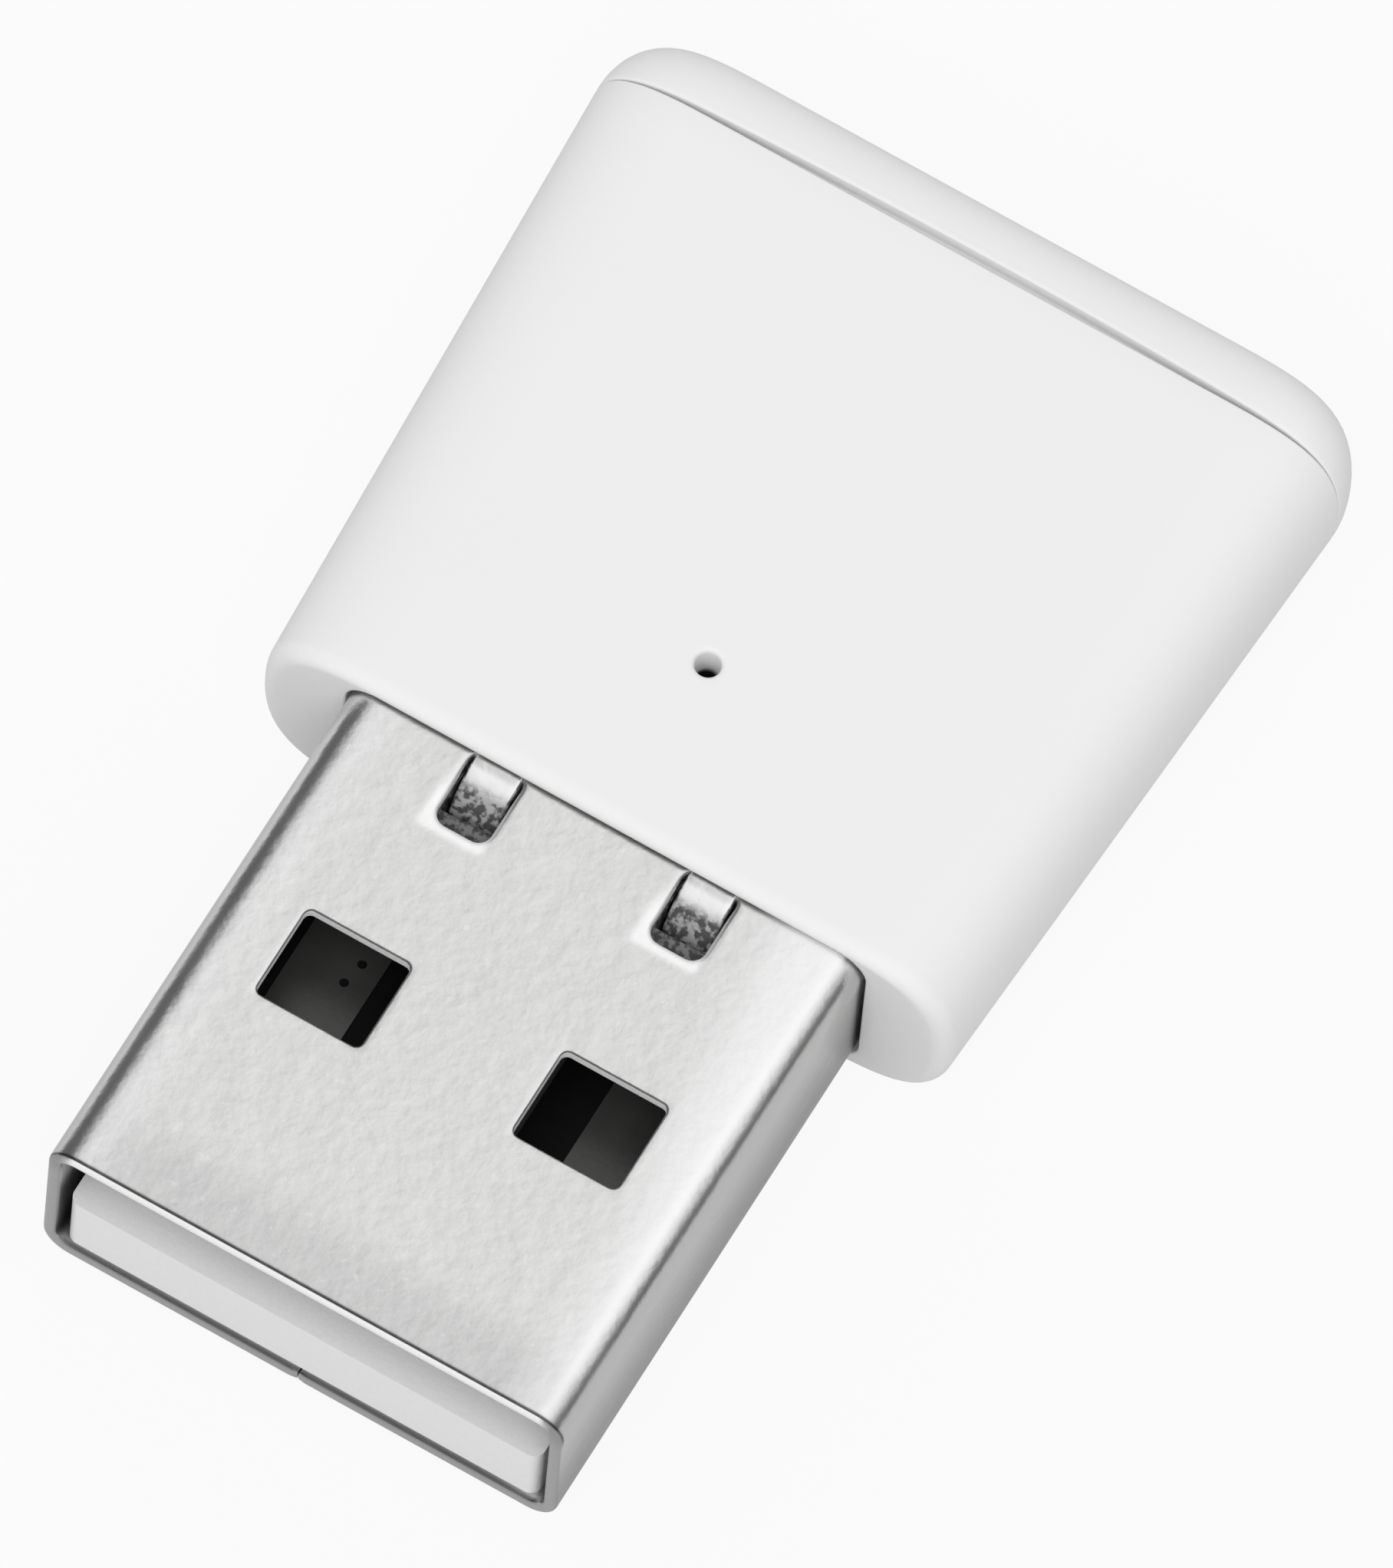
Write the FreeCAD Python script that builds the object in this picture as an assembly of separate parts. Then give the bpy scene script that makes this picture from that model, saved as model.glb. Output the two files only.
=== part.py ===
import FreeCAD, Part
import math
import os
from FreeCAD import Vector

# A plug-in radio signal repeater: a small moulded housing behind a type A plug.
# Millimetres. The model is drawn about the plug's middle plane, with X across the
# plug, Y = 0 at the face where the plug leaves the housing, -Y towards the plug's
# mouth, +Y into the housing and +Z out of the side with the indicator hole. Each
# piece is moved at the end, so that the origin is the middle of the underside.

# Plug shell, one folded sheet
PLUG_WIDTH = 12.0
PLUG_HEIGHT = 4.5
PLUG_OUT = 12.0
PLUG_INSIDE = 2.6
SHEET = 0.3
BEND_RADIUS = 0.65
LIP_BEVEL = 0.1
SEAM_GAP = 0.06
SEAM_KEY_LENGTH = 1.4
SEAM_KEY_REACH = 0.8
SEAM_KEY_FLARE = 0.2
SEAM_KEY_SETBACK = 3.4
WINDOW_WIDTH = 2.45
WINDOW_LENGTH = 2.15
WINDOW_CORNER = 0.16
WINDOW_SPACING = 6.0
WINDOW_SETBACK = 5.16
TAB_SPACING = 5.0
TAB_WIDTH = 1.1
TAB_LENGTH = 1.7
TAB_HINGE = 0.1
TAB_CURVE = 1.3
TAB_CORNER = 0.3
TAB_GAP = 0.06
LEG_REACH = 2.3
LEG_HEIGHT = 1.1
PRONG_LENGTH = 1.3
PRONG_STAND = 0.4

# Housing
BODY_LENGTH = 16.05
BODY_WIDTH_FRONT = 16.1
BODY_WIDTH_BACK = 17.7
BODY_HEIGHT = 5.2
SIDE_ROUND = 2.6
SIDE_FULLNESS = 0.76
FRONT_DEPTH = 0.4
FRONT_CORNER = 0.4
FRONT_DROP = 0.22
SLOT_GAP = 0.08
WALL = 0.75
SIDE_WALL = 1.0
FRONT_WALL = 1.2
CORE_CHORDS = 3
RAIL_GRIP = 0.4
RAIL_FLANGE = 0.5
HOLE_SETBACK = 4.05
HOLE_DIAMETER = 0.56
HOLE_END_DIAMETER = 0.44
HOLE_EDGE = 0.05
WELL_WALL = 0.45
WELL_STANDOFF = 0.25

# End cap
CAP_DEPTH = 1.45
CAP_CORNER = 1.2
CAP_END_HEIGHT = 3.9
CAP_GAP = 0.2
CAP_WALL = 0.95
SPIGOT_LENGTH = 1.6
SPIGOT_WALL = 0.6
CATCH_WIDTH = 3.0
CATCH_HEIGHT = 0.25
CATCH_SETBACK = 0.6
CATCH_LENGTH = 0.7
FORK_WIDTH = 0.9
FORK_SPACING = 10.3
FORK_JAW = 0.5
FORK_GRIP = 0.8

# Board and its carrier
BOARD_TOP = 0.08
BOARD_THICKNESS = 0.8
BOARD_SHOULDER_GAP = 0.3
BOARD_REAR_GAP = 0.6
BOARD_CORNER = 0.5
CARRIER_RECESS = 0.1
CARRIER_SIDE_GAP = 0.2
CARRIER_CORNER = 0.25
CARRIER_RIM = 0.45
NOSE_LENGTH = 0.9
BRIDGE_WALL = 0.4
BRIDGE_REAR_GAP = 0.2

# Contact fingers, etched and plated on the tongue
OUTER_FINGER_WIDTH = 1.8
INNER_FINGER_WIDTH = 1.0
FINGER_THICKNESS = 0.05
FINGER_CORNER = 0.2
OUTER_FINGER_SPACING = 7.0
INNER_FINGER_SPACING = 2.0
FINGER_END = 8.8
OUTER_FINGER_START = 1.3
INNER_FINGER_START = 2.3
VIA_DIAMETER = 0.2
GROUND_VIAS = ((0.43, 7.67), (0.32, 7.13))

# Running and fitting clearance
FIT = 0.05

# Parts on the board, as (across, along, high) where they are plain chips
CAN_WIDTH = 9.0
CAN_HEIGHT = 1.4
CAN_SHEET = 0.2
CAN_CORNER = 0.4
CAN_NOTCH = 0.8
CAN_NOTCH_HEIGHT = 0.3
CAN_SETBACK = 5.3
CAN_CLEARANCE = 0.25
CAN_ANTENNA_GAP = 0.6
RADIO_SIZE = 4.0
RADIO_HEIGHT = 0.85
RADIO_LEADS = 7
RADIO_LEAD_PITCH = 0.5
RADIO_X = -1.7
CRYSTAL_SIZE = (2.0, 1.6, 0.5)
CRYSTAL_X = 2.4
LED_SIZE = (0.8, 1.6, 0.6)
SMALL_CHIP_LENGTH = 1.0
SMALL_CHIP_WIDTH = 0.5
CAPACITOR_HEIGHT = 0.5
RESISTOR_HEIGHT = 0.35
COIL_CHIP = (1.6, 0.8, 0.8)
BULK_LENGTH = 2.0
BULK_WIDTH = 1.25
BULK_CLEARANCE = 0.25
CHIP_END = 0.22
CHIP_END_STEP = 0.03
ROW_PITCH = 1.2
REGULATOR_SIZE = (2.9, 1.6, 1.0)
REGULATOR_SPAN = 2.8
REGULATOR_PITCH = 0.95
LEAD_WIDTH = 0.4
LEAD_THICKNESS = 0.15
TRACE_WIDTH = 0.35
TRACE_THICKNESS = 0.05
MEANDER_PITCH = 0.8
MEANDER_BARS = 11
MEANDER_DEPTH = 1.5
MEANDER_MARGIN = 0.4
SOLDER_RISE = 0.35
SOLDER_SPREAD = 0.15

# Worked out from the values above
MOUTH = -PLUG_OUT
SLEEVE_END = BODY_LENGTH - CAP_DEPTH
HALF_HEIGHT = BODY_HEIGHT / 2
SHELL_FLOOR = -PLUG_HEIGHT / 2 + SHEET
SHELL_CEILING = PLUG_HEIGHT / 2 - SHEET
BOARD_BOTTOM = BOARD_TOP - BOARD_THICKNESS
BOARD_FRONT = MOUTH + CARRIER_RECESS + NOSE_LENGTH + FIT
BOARD_SHOULDER = PLUG_INSIDE + BOARD_SHOULDER_GAP
BOARD_REAR = SLEEVE_END - BOARD_REAR_GAP
CARRIER_WIDTH = PLUG_WIDTH - 2 * (SHEET + CARRIER_SIDE_GAP)
CARRIER_EASE = BEND_RADIUS - SHEET - CARRIER_SIDE_GAP + FIT
TONGUE_WIDTH = CARRIER_WIDTH - 2 * CARRIER_RIM
RAIL_X = PLUG_WIDTH / 2 + SOLDER_SPREAD + FIT
BOARD_WIDTH = 2 * (RAIL_X + RAIL_GRIP)
PRONG_REAR = PLUG_INSIDE + LEG_REACH
PRONG_FRONT = PRONG_REAR - PRONG_LENGTH
TAB_TURN = TAB_LENGTH / TAB_CURVE
TAB_REACH = TAB_CURVE * math.sin(TAB_TURN) - TAB_HINGE
UNDER_ROOM = BOARD_BOTTOM + HALF_HEIGHT - WALL
WELL_END = BOARD_TOP + LED_SIZE[2] + WELL_STANDOFF
MEANDER_FAR = BOARD_REAR - MEANDER_MARGIN
MEANDER_NEAR = MEANDER_FAR - MEANDER_DEPTH
CAN_LENGTH = MEANDER_NEAR - CAN_ANTENNA_GAP - CAN_SETBACK
CAN_MIDDLE = CAN_SETBACK + CAN_LENGTH / 2
CAN_ROOM = CAN_LENGTH / 2 - CAN_SHEET - CAN_CLEARANCE
OVERRUN = 1.0
QUARTER = 4 / 3 * (math.sqrt(2) - 1)


def box(x0, x1, y0, y1, z0, z1):
    """A block between two corners."""
    return Part.makeBox(x1 - x0, y1 - y0, z1 - z0, Vector(x0, y0, z0))


def both_sides(shape):
    """A shape and its like on the other side of the middle plane."""
    return [shape, shape.mirror(Vector(0, 0, 0), Vector(1, 0, 0))]


def joined(shapes):
    """One shape from pieces that overlap or share faces."""
    return shapes[0].fuse(shapes[1:]).removeSplitter()


def plate(x, y, width, length, z0, z1, corner):
    """An upright plate with rounded corners, about its middle in plan."""
    block = box(x - width / 2, x + width / 2, y - length / 2, y + length / 2, z0, z1)
    upright = [e for e in block.Edges if abs(e.tangentAt(e.FirstParameter).z) > 0.99]
    return block.makeFillet(corner, upright)


def rounded_frame(half_width, half_height, radius, y):
    """A closed rounded rectangle in the plane of the plug's mouth."""
    reach_x = half_width - radius
    reach_z = half_height - radius
    lean = radius * math.sqrt(0.5)
    edges = []
    for sx, sz in ((1, 1), (-1, 1), (-1, -1), (1, -1)):
        side = Vector(sx * half_width, y, sz * reach_z)
        middle = Vector(sx * (reach_x + lean), y, sz * (reach_z + lean))
        flat = Vector(sx * reach_x, y, sz * half_height)
        edges.append(Part.Arc(side, middle, flat).toShape())
    for s in (1, -1):
        edges.append(Part.makeLine(Vector(-reach_x, y, s * half_height),
                                   Vector(reach_x, y, s * half_height)))
        edges.append(Part.makeLine(Vector(s * half_width, y, -reach_z),
                                   Vector(s * half_width, y, reach_z)))
    return Part.Wire(Part.__sortEdges__(edges))


def tube_along_y(inset, y0, y1):
    """The plug's rounded section, drawn in by an inset and run along Y."""
    frame = rounded_frame(PLUG_WIDTH / 2 - inset, PLUG_HEIGHT / 2 - inset,
                          BEND_RADIUS - min(inset, SHEET), y0)
    return Part.Face(frame).extrude(Vector(0, y1 - y0, 0))


def body_rows(y, half_width, half_height):
    """The poles of the six edges of the housing's cross-section, in order round it.

    A side leaves the flat level and meets the widest line upright.
    """
    side = SIDE_ROUND * half_height / HALF_HEIGHT
    flat = half_width - side
    quarter = [(flat, half_height), (flat + SIDE_FULLNESS * side, half_height),
               (half_width, SIDE_FULLNESS * half_height), (half_width, 0)]
    rows = [[(-flat, half_height), (flat, half_height)],
            quarter, [(x, -z) for x, z in quarter[::-1]]]
    rows += [[(-x, -z) for x, z in row] for row in rows]
    return [[Vector(x, y, z) for x, z in row] for row in rows]


def curve_along(row):
    """The curve with a row of poles; two poles give a straight line."""
    curve = Part.BezierCurve()
    curve.setPoles(row)
    return curve


def core_rows(y, half_width, half_height):
    """The same section with each quarter of a side as a few chords, as a core is cut."""
    rows = []
    for row in body_rows(y, half_width, half_height):
        chords = 1 if len(row) == 2 else CORE_CHORDS
        points = [curve_along(row).value(i / chords) for i in range(chords + 1)]
        rows += [[a, b] for a, b in zip(points, points[1:])]
    return rows


def patch(rows):
    """The face over some rows of poles. Two straight rows span a flat face."""
    if len(rows) == 2 and len(rows[0]) == 2:
        ring = rows[0] + rows[1][::-1]
        return Part.Face(Part.makePolygon(ring + ring[:1]))
    surface = Part.BezierSurface()
    surface.increase(len(rows) - 1, len(rows[0]) - 1)
    for i, row in enumerate(rows):
        for j, pole in enumerate(row):
            surface.setPole(i + 1, j + 1, pole)
    return surface.toShape()


def skinned(spans):
    """The solid inside runs of section rows, with a flat face at either end."""
    faces = [patch(rows) for levels in spans for rows in zip(*levels)]
    for level in (spans[0][0], spans[-1][-1]):
        outline = [curve_along(row).toShape() for row in level]
        faces.append(Part.Face(Part.Wire(outline)))
    shell = Part.makeShell(faces)
    shell.sewShape()
    return Part.makeSolid(shell)


def half_width_at(y):
    """Half of the housing's width, which grows evenly towards its far end."""
    grow = (BODY_WIDTH_BACK - BODY_WIDTH_FRONT) / BODY_LENGTH
    return (BODY_WIDTH_FRONT + grow * y) / 2


def stretch(section, y0, y1, side_inset=0, height_inset=0):
    """A straight stretch of the housing's form, drawn in evenly."""
    return skinned([[section(y, half_width_at(y) - side_inset, HALF_HEIGHT - height_inset)
                     for y in (y0, y1)]])


def soft_end(start, reach, corner, drop):
    """The section drawn in along a quarter turn, from a start towards either end.

    Each pole of the section moves in proportion to the pull, so the four levels are the
    poles of a quarter turn in reach and pull, and the patches over them are smooth.
    """
    levels = []
    for along, pull in ((0, 0), (QUARTER, 0), (1, 1 - QUARTER), (1, 1)):
        y = start + along * reach
        levels.append(body_rows(y, half_width_at(y) - corner * pull, HALF_HEIGHT - drop * pull))
    return levels


def sleeve_outside():
    """The soft front edge and the straight tapered stretch behind it."""
    front = soft_end(FRONT_DEPTH, -FRONT_DEPTH, FRONT_CORNER, FRONT_DROP)[::-1]
    rear = body_rows(SLEEVE_END, half_width_at(SLEEVE_END), HALF_HEIGHT)
    return skinned([front, [front[-1], rear]])


def catch_ridge(z, up, growth):
    """A ridge with a slow lead-in and a steep rear, on the spigot or as its pocket."""
    rear = SLEEVE_END - CATCH_SETBACK + growth
    front = rear - CATCH_LENGTH - 2 * growth
    crest = z + up * (CATCH_HEIGHT + growth)
    outline = [Vector(0, front, z), Vector(0, front + 0.6 * CATCH_LENGTH, crest),
               Vector(0, rear - 0.1 * CATCH_LENGTH, crest), Vector(0, rear, z)]
    half = CATCH_WIDTH / 2 + growth
    ridge = Part.Face(Part.makePolygon(outline + outline[:1])).extrude(Vector(2 * half, 0, 0))
    ridge.translate(Vector(-half, 0, 0))
    return ridge


def housing_sleeve():
    """One moulding, open at the far end, with the plug's slot in its front wall."""
    ceiling = HALF_HEIGHT - WALL
    hollow = stretch(core_rows, FRONT_WALL, SLEEVE_END + OVERRUN, SIDE_WALL, WALL)
    rail = box(RAIL_X, BODY_WIDTH_BACK, 0, SLEEVE_END - SPIGOT_LENGTH - 4 * FIT,
               BOARD_BOTTOM - RAIL_FLANGE, BOARD_TOP + RAIL_FLANGE)
    groove = box(0, BOARD_WIDTH / 2 + FIT, BOARD_SHOULDER - FIT, BODY_LENGTH,
                 BOARD_BOTTOM - FIT, BOARD_TOP + FIT)
    well = Part.makeCylinder(HOLE_DIAMETER / 2 + WELL_WALL, ceiling + OVERRUN - WELL_END,
                             Vector(0, HOLE_SETBACK, WELL_END))
    hollow = hollow.cut(both_sides(rail.cut(groove)) + [well])
    slot = tube_along_y(-SLOT_GAP, -OVERRUN, PLUG_INSIDE + FIT)
    hole = Part.makeCone(HOLE_END_DIAMETER / 2, HOLE_DIAMETER / 2,
                         HALF_HEIGHT - WELL_END, Vector(0, HOLE_SETBACK, WELL_END))
    edge = Part.makeCone(HOLE_DIAMETER / 2, HOLE_DIAMETER / 2 + HOLE_EDGE,
                         HOLE_EDGE, Vector(0, HOLE_SETBACK, HALF_HEIGHT - HOLE_EDGE))
    pockets = [catch_ridge(up * (ceiling - FIT), up, FIT) for up in (1, -1)]
    return sleeve_outside().cut([hollow, slot, hole, edge] + pockets)


def cap_outside():
    """The rounded end behind the joint."""
    end_drop = HALF_HEIGHT - CAP_END_HEIGHT / 2
    return skinned([soft_end(SLEEVE_END, CAP_DEPTH, CAP_CORNER, end_drop)])


def joint_relief():
    """The lens between sleeve and cap: open in the middle, closed at both sides."""
    half = half_width_at(SLEEVE_END)
    left = Vector(-half, SLEEVE_END, -BODY_HEIGHT)
    right = Vector(half, SLEEVE_END, -BODY_HEIGHT)
    bow = Part.Arc(left, Vector(0, SLEEVE_END + CAP_GAP, -BODY_HEIGHT), right).toShape()
    outline = Part.Wire([bow, Part.makeLine(right, left)])
    return Part.Face(outline).extrude(Vector(0, 0, 2 * BODY_HEIGHT))


def end_cap():
    """The rounded cap, hollow, with a spigot, two catches and a fork for the board."""
    front = SLEEVE_END - SPIGOT_LENGTH
    rear = SLEEVE_END + CAP_DEPTH - CAP_WALL
    spigot_height = WALL + FIT
    spigot = stretch(core_rows, front, rear, SIDE_WALL + FIT, spigot_height)
    core = stretch(core_rows, front - OVERRUN, rear, SIDE_WALL + FIT + SPIGOT_WALL,
                   spigot_height + SPIGOT_WALL)
    catches = [catch_ridge(up * (HALF_HEIGHT - spigot_height), up, 0) for up in (1, -1)]
    cap = cap_outside().cut(joint_relief()).fuse([spigot] + catches).cut(core)
    x0 = FORK_SPACING / 2 - FORK_WIDTH / 2
    fork = box(x0, x0 + FORK_WIDTH, BOARD_REAR - FORK_GRIP, rear + FIT,
               BOARD_BOTTOM - FORK_JAW, BOARD_TOP + FORK_JAW)
    jaw = box(0, BOARD_WIDTH, 0, BOARD_REAR + FIT, BOARD_BOTTOM - FIT, BOARD_TOP + FIT)
    return joined([cap] + both_sides(fork.cut(jaw)))


def seam_slit():
    """The butt joint under the shell, with one dovetail key, as a run of thin slots."""
    near = MOUTH + SEAM_KEY_SETBACK
    far = near + SEAM_KEY_LENGTH
    path = [(0, MOUTH - OVERRUN), (0, near), (SEAM_KEY_REACH, near - SEAM_KEY_FLARE),
            (SEAM_KEY_REACH, far + SEAM_KEY_FLARE), (0, far), (0, PLUG_INSIDE + OVERRUN)]
    slots = []
    for (x0, y0), (x1, y1) in zip(path, path[1:]):
        length = math.hypot(x1 - x0, y1 - y0)
        slot = box(-SEAM_GAP / 2, length + SEAM_GAP / 2, -SEAM_GAP / 2, SEAM_GAP / 2,
                   -PLUG_HEIGHT, SHELL_FLOOR + FIT)
        slot.rotate(Vector(0, 0, 0), Vector(0, 0, 1), math.degrees(math.atan2(y1 - y0, x1 - x0)))
        slot.translate(Vector(x0, y0, 0))
        slots.append(slot)
    return slots


def tab_plan(x, reach, growth):
    """The plan of a tab, or of the opening it was cut from, up to the hinge line."""
    width = TAB_WIDTH + 2 * growth
    front = -reach - growth
    rear = TAB_HINGE + OVERRUN
    outline = plate(x, (front + rear) / 2, width, rear - front, 0, PLUG_HEIGHT, TAB_CORNER)
    return outline.common(box(x - width, x + width, front - OVERRUN, TAB_HINGE, 0, PLUG_HEIGHT))


def curled_tab(x):
    """A tongue cut free on three sides and curled down from its hinge line."""
    top = PLUG_HEIGHT / 2
    left = x - TAB_WIDTH / 2
    right = x + TAB_WIDTH / 2
    corners = [Vector(left, TAB_HINGE, top - SHEET), Vector(right, TAB_HINGE, top - SHEET),
               Vector(right, TAB_HINGE, top), Vector(left, TAB_HINGE, top)]
    section = Part.Face(Part.makePolygon(corners + corners[:1]))
    curl = section.revolve(Vector(0, TAB_HINGE, top - TAB_CURVE), Vector(1, 0, 0),
                           math.degrees(TAB_TURN))
    return curl.common(tab_plan(x, TAB_REACH, 0))


def plug_shell():
    """The folded shell: windows, curled tabs, a keyed seam below and two board legs."""
    skin = tube_along_y(0, MOUTH, PLUG_INSIDE)
    lip = [e for e in skin.Edges if all(abs(v.Point.y - MOUTH) < 1e-4 for v in e.Vertexes)]
    skin = skin.makeChamfer(LIP_BEVEL, lip)
    leg_x = PLUG_WIDTH / 2 - SHEET
    leg_z = BOARD_TOP + FIT
    leg = box(leg_x, PLUG_WIDTH / 2, 0, PRONG_REAR, leg_z, leg_z + LEG_HEIGHT)
    prong = box(leg_x, PLUG_WIDTH / 2, PRONG_FRONT, PRONG_REAR,
                BOARD_BOTTOM - PRONG_STAND, leg_z)
    tabs_x = (-TAB_SPACING / 2, TAB_SPACING / 2)
    windows = [plate(sx * WINDOW_SPACING / 2, MOUTH + WINDOW_SETBACK + WINDOW_LENGTH / 2,
                     WINDOW_WIDTH, WINDOW_LENGTH, -PLUG_HEIGHT, PLUG_HEIGHT, WINDOW_CORNER)
               for sx in (-1, 1)]
    openings = [tab_plan(x, TAB_LENGTH - TAB_HINGE, TAB_GAP) for x in tabs_x]
    inside = tube_along_y(SHEET, MOUTH - OVERRUN, PLUG_INSIDE + OVERRUN)
    shell = skin.cut([inside] + windows + openings + seam_slit())
    return joined([shell] + both_sides(leg) + both_sides(prong)
                  + [curled_tab(x) for x in tabs_x])


def board_carrier():
    """The moulded tray under the tongue: nose, rims, and a bridge for the curled tabs."""
    front = MOUTH + CARRIER_RECESS
    pocket_front = -TAB_REACH - 2 * TAB_GAP
    bridge_front = pocket_front - BRIDGE_WALL
    tray = box(-CARRIER_WIDTH / 2, CARRIER_WIDTH / 2, front, 0, SHELL_FLOOR, BOARD_TOP)
    corners = [e for e in tray.Edges if all(abs(v.Point.y - front) < 1e-4 for v in e.Vertexes)
               and abs(e.tangentAt(e.FirstParameter).z) > 0.99]
    tray = tray.makeFillet(CARRIER_CORNER, corners)
    lower = [e for e in tray.Edges if e.Curve.TypeId == "Part::GeomLine"
             and abs(e.tangentAt(e.FirstParameter).y) > 0.99
             and all(abs(v.Point.z - SHELL_FLOOR) < 1e-4 for v in e.Vertexes)]
    tray = tray.makeChamfer(CARRIER_EASE, lower)
    bridge = tube_along_y(SHEET + FIT, bridge_front, PLUG_INSIDE - BRIDGE_REAR_GAP)
    half_tongue = TONGUE_WIDTH / 2 + FIT
    bed = box(-half_tongue, half_tongue, BOARD_FRONT - FIT, PLUG_INSIDE + OVERRUN,
              BOARD_BOTTOM, BOARD_TOP + FINGER_THICKNESS + FIT)
    tip = PLUG_HEIGHT / 2 - TAB_CURVE + (TAB_CURVE - SHEET) * math.cos(TAB_TURN)
    pockets = [box(sx * TAB_SPACING / 2 - TAB_WIDTH / 2 - TAB_GAP,
                   sx * TAB_SPACING / 2 + TAB_WIDTH / 2 + TAB_GAP,
                   pocket_front, TAB_HINGE + TAB_GAP, tip - TAB_GAP, PLUG_HEIGHT)
               for sx in (-1, 1)]
    return tray.fuse(bridge).cut([bed] + pockets).removeSplitter()


def main_board():
    """The board: a narrow tongue in the plug and a wide part between the rails."""
    length = BOARD_REAR - BOARD_SHOULDER
    wide = plate(0, BOARD_SHOULDER + length / 2, BOARD_WIDTH, length,
                 BOARD_BOTTOM, BOARD_TOP, BOARD_CORNER)
    tongue = box(-TONGUE_WIDTH / 2, TONGUE_WIDTH / 2, BOARD_FRONT, BOARD_SHOULDER + OVERRUN,
                 BOARD_BOTTOM, BOARD_TOP)
    slot = box(PLUG_WIDTH / 2 - SHEET - FIT, PLUG_WIDTH / 2 + FIT, PRONG_FRONT - FIT,
               PRONG_REAR + FIT, BOARD_BOTTOM - FIT, BOARD_TOP + FIT)
    return joined([wide, tongue]).cut(both_sides(slot))


def contact_finger(x, width, start, vias=()):
    """One plated finger on the tongue, from its start behind the mouth, with open vias."""
    finger = plate(x, MOUTH + (start + FINGER_END) / 2, width, FINGER_END - start,
                   BOARD_TOP, BOARD_TOP + FINGER_THICKNESS, FINGER_CORNER)
    for across, along in vias:
        finger = finger.cut(Part.makeCylinder(VIA_DIAMETER / 2, OVERRUN,
                                              Vector(x + across, MOUTH + along, BOARD_TOP)))
    return finger


def mounted(shape, x, y, quarter_turns=0, below=False):
    """A part drawn standing on Z = 0, set on the board or hung under it."""
    placed = shape.copy()
    placed.rotate(Vector(0, 0, 0), Vector(0, 0, 1), 90 * quarter_turns)
    if below:
        placed.rotate(Vector(0, 0, 0), Vector(0, 1, 0), 180)
    placed.translate(Vector(x, y, BOARD_BOTTOM if below else BOARD_TOP))
    return placed


def chip(size):
    """A plain chip: a body between two slightly proud metal ends."""
    across, along, high = size
    body = box(-across / 2, across / 2, -along / 2 + CHIP_END_STEP, along / 2 - CHIP_END_STEP,
               CHIP_END_STEP, high - CHIP_END_STEP)
    end = box(across / 2 - CHIP_END, across / 2, -along / 2, along / 2, 0, high)
    return joined([body] + both_sides(end))


def shield_can():
    """The drawn can over the radio, with notches along its foot."""
    can = plate(0, 0, CAN_WIDTH, CAN_LENGTH, 0, CAN_HEIGHT, CAN_CORNER)
    inside = plate(0, 0, CAN_WIDTH - 2 * CAN_SHEET, CAN_LENGTH - 2 * CAN_SHEET,
                   -OVERRUN, CAN_HEIGHT - CAN_SHEET, CAN_CORNER - CAN_SHEET / 2)
    half = CAN_NOTCH / 2
    notches = [box(x - half, x + half, -CAN_LENGTH, CAN_LENGTH, -OVERRUN, CAN_NOTCH_HEIGHT)
               for x in (-CAN_WIDTH / 4, 0, CAN_WIDTH / 4)]
    notches += [box(-CAN_WIDTH, CAN_WIDTH, y - half, y + half, -OVERRUN, CAN_NOTCH_HEIGHT)
                for y in (-CAN_LENGTH / 5, CAN_LENGTH / 5)]
    return mounted(can.cut([inside] + notches), 0, CAN_MIDDLE)


def radio_chip():
    """The radio: a flat body on a ring of short leads, with a corner mark."""
    half = RADIO_SIZE / 2
    foot = 2 * CHIP_END_STEP
    body = box(-half, half, -half, half, foot / 2, RADIO_HEIGHT)
    mark = Part.makeCylinder(CHIP_END, OVERRUN,
                             Vector(-half + 3 * CHIP_END, half - 3 * CHIP_END,
                                    RADIO_HEIGHT - foot))
    leads = []
    for i in range(RADIO_LEADS):
        offset = (i - (RADIO_LEADS - 1) / 2) * RADIO_LEAD_PITCH
        lead = box(offset - RADIO_LEAD_PITCH / 4, offset + RADIO_LEAD_PITCH / 4,
                   half - LEAD_WIDTH, half + CHIP_END_STEP, 0, LEAD_THICKNESS)
        for quarter in range(4):
            turned = lead.copy()
            turned.rotate(Vector(0, 0, 0), Vector(0, 0, 1), 90 * quarter)
            leads.append(turned)
    return mounted(joined([body.cut(mark)] + leads), RADIO_X, CAN_MIDDLE)


def crystal():
    """The reference crystal: a ceramic base with a smaller metal lid."""
    across, along, high = CRYSTAL_SIZE
    base = plate(0, 0, across, along, 0, 0.6 * high, CHIP_END / 2)
    lid = plate(0, 0, across - CHIP_END, along - CHIP_END, 0.6 * high, high, CHIP_END / 2)
    return mounted(joined([base, lid]), CRYSTAL_X, CAN_MIDDLE + CAN_ROOM - along / 2)


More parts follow.
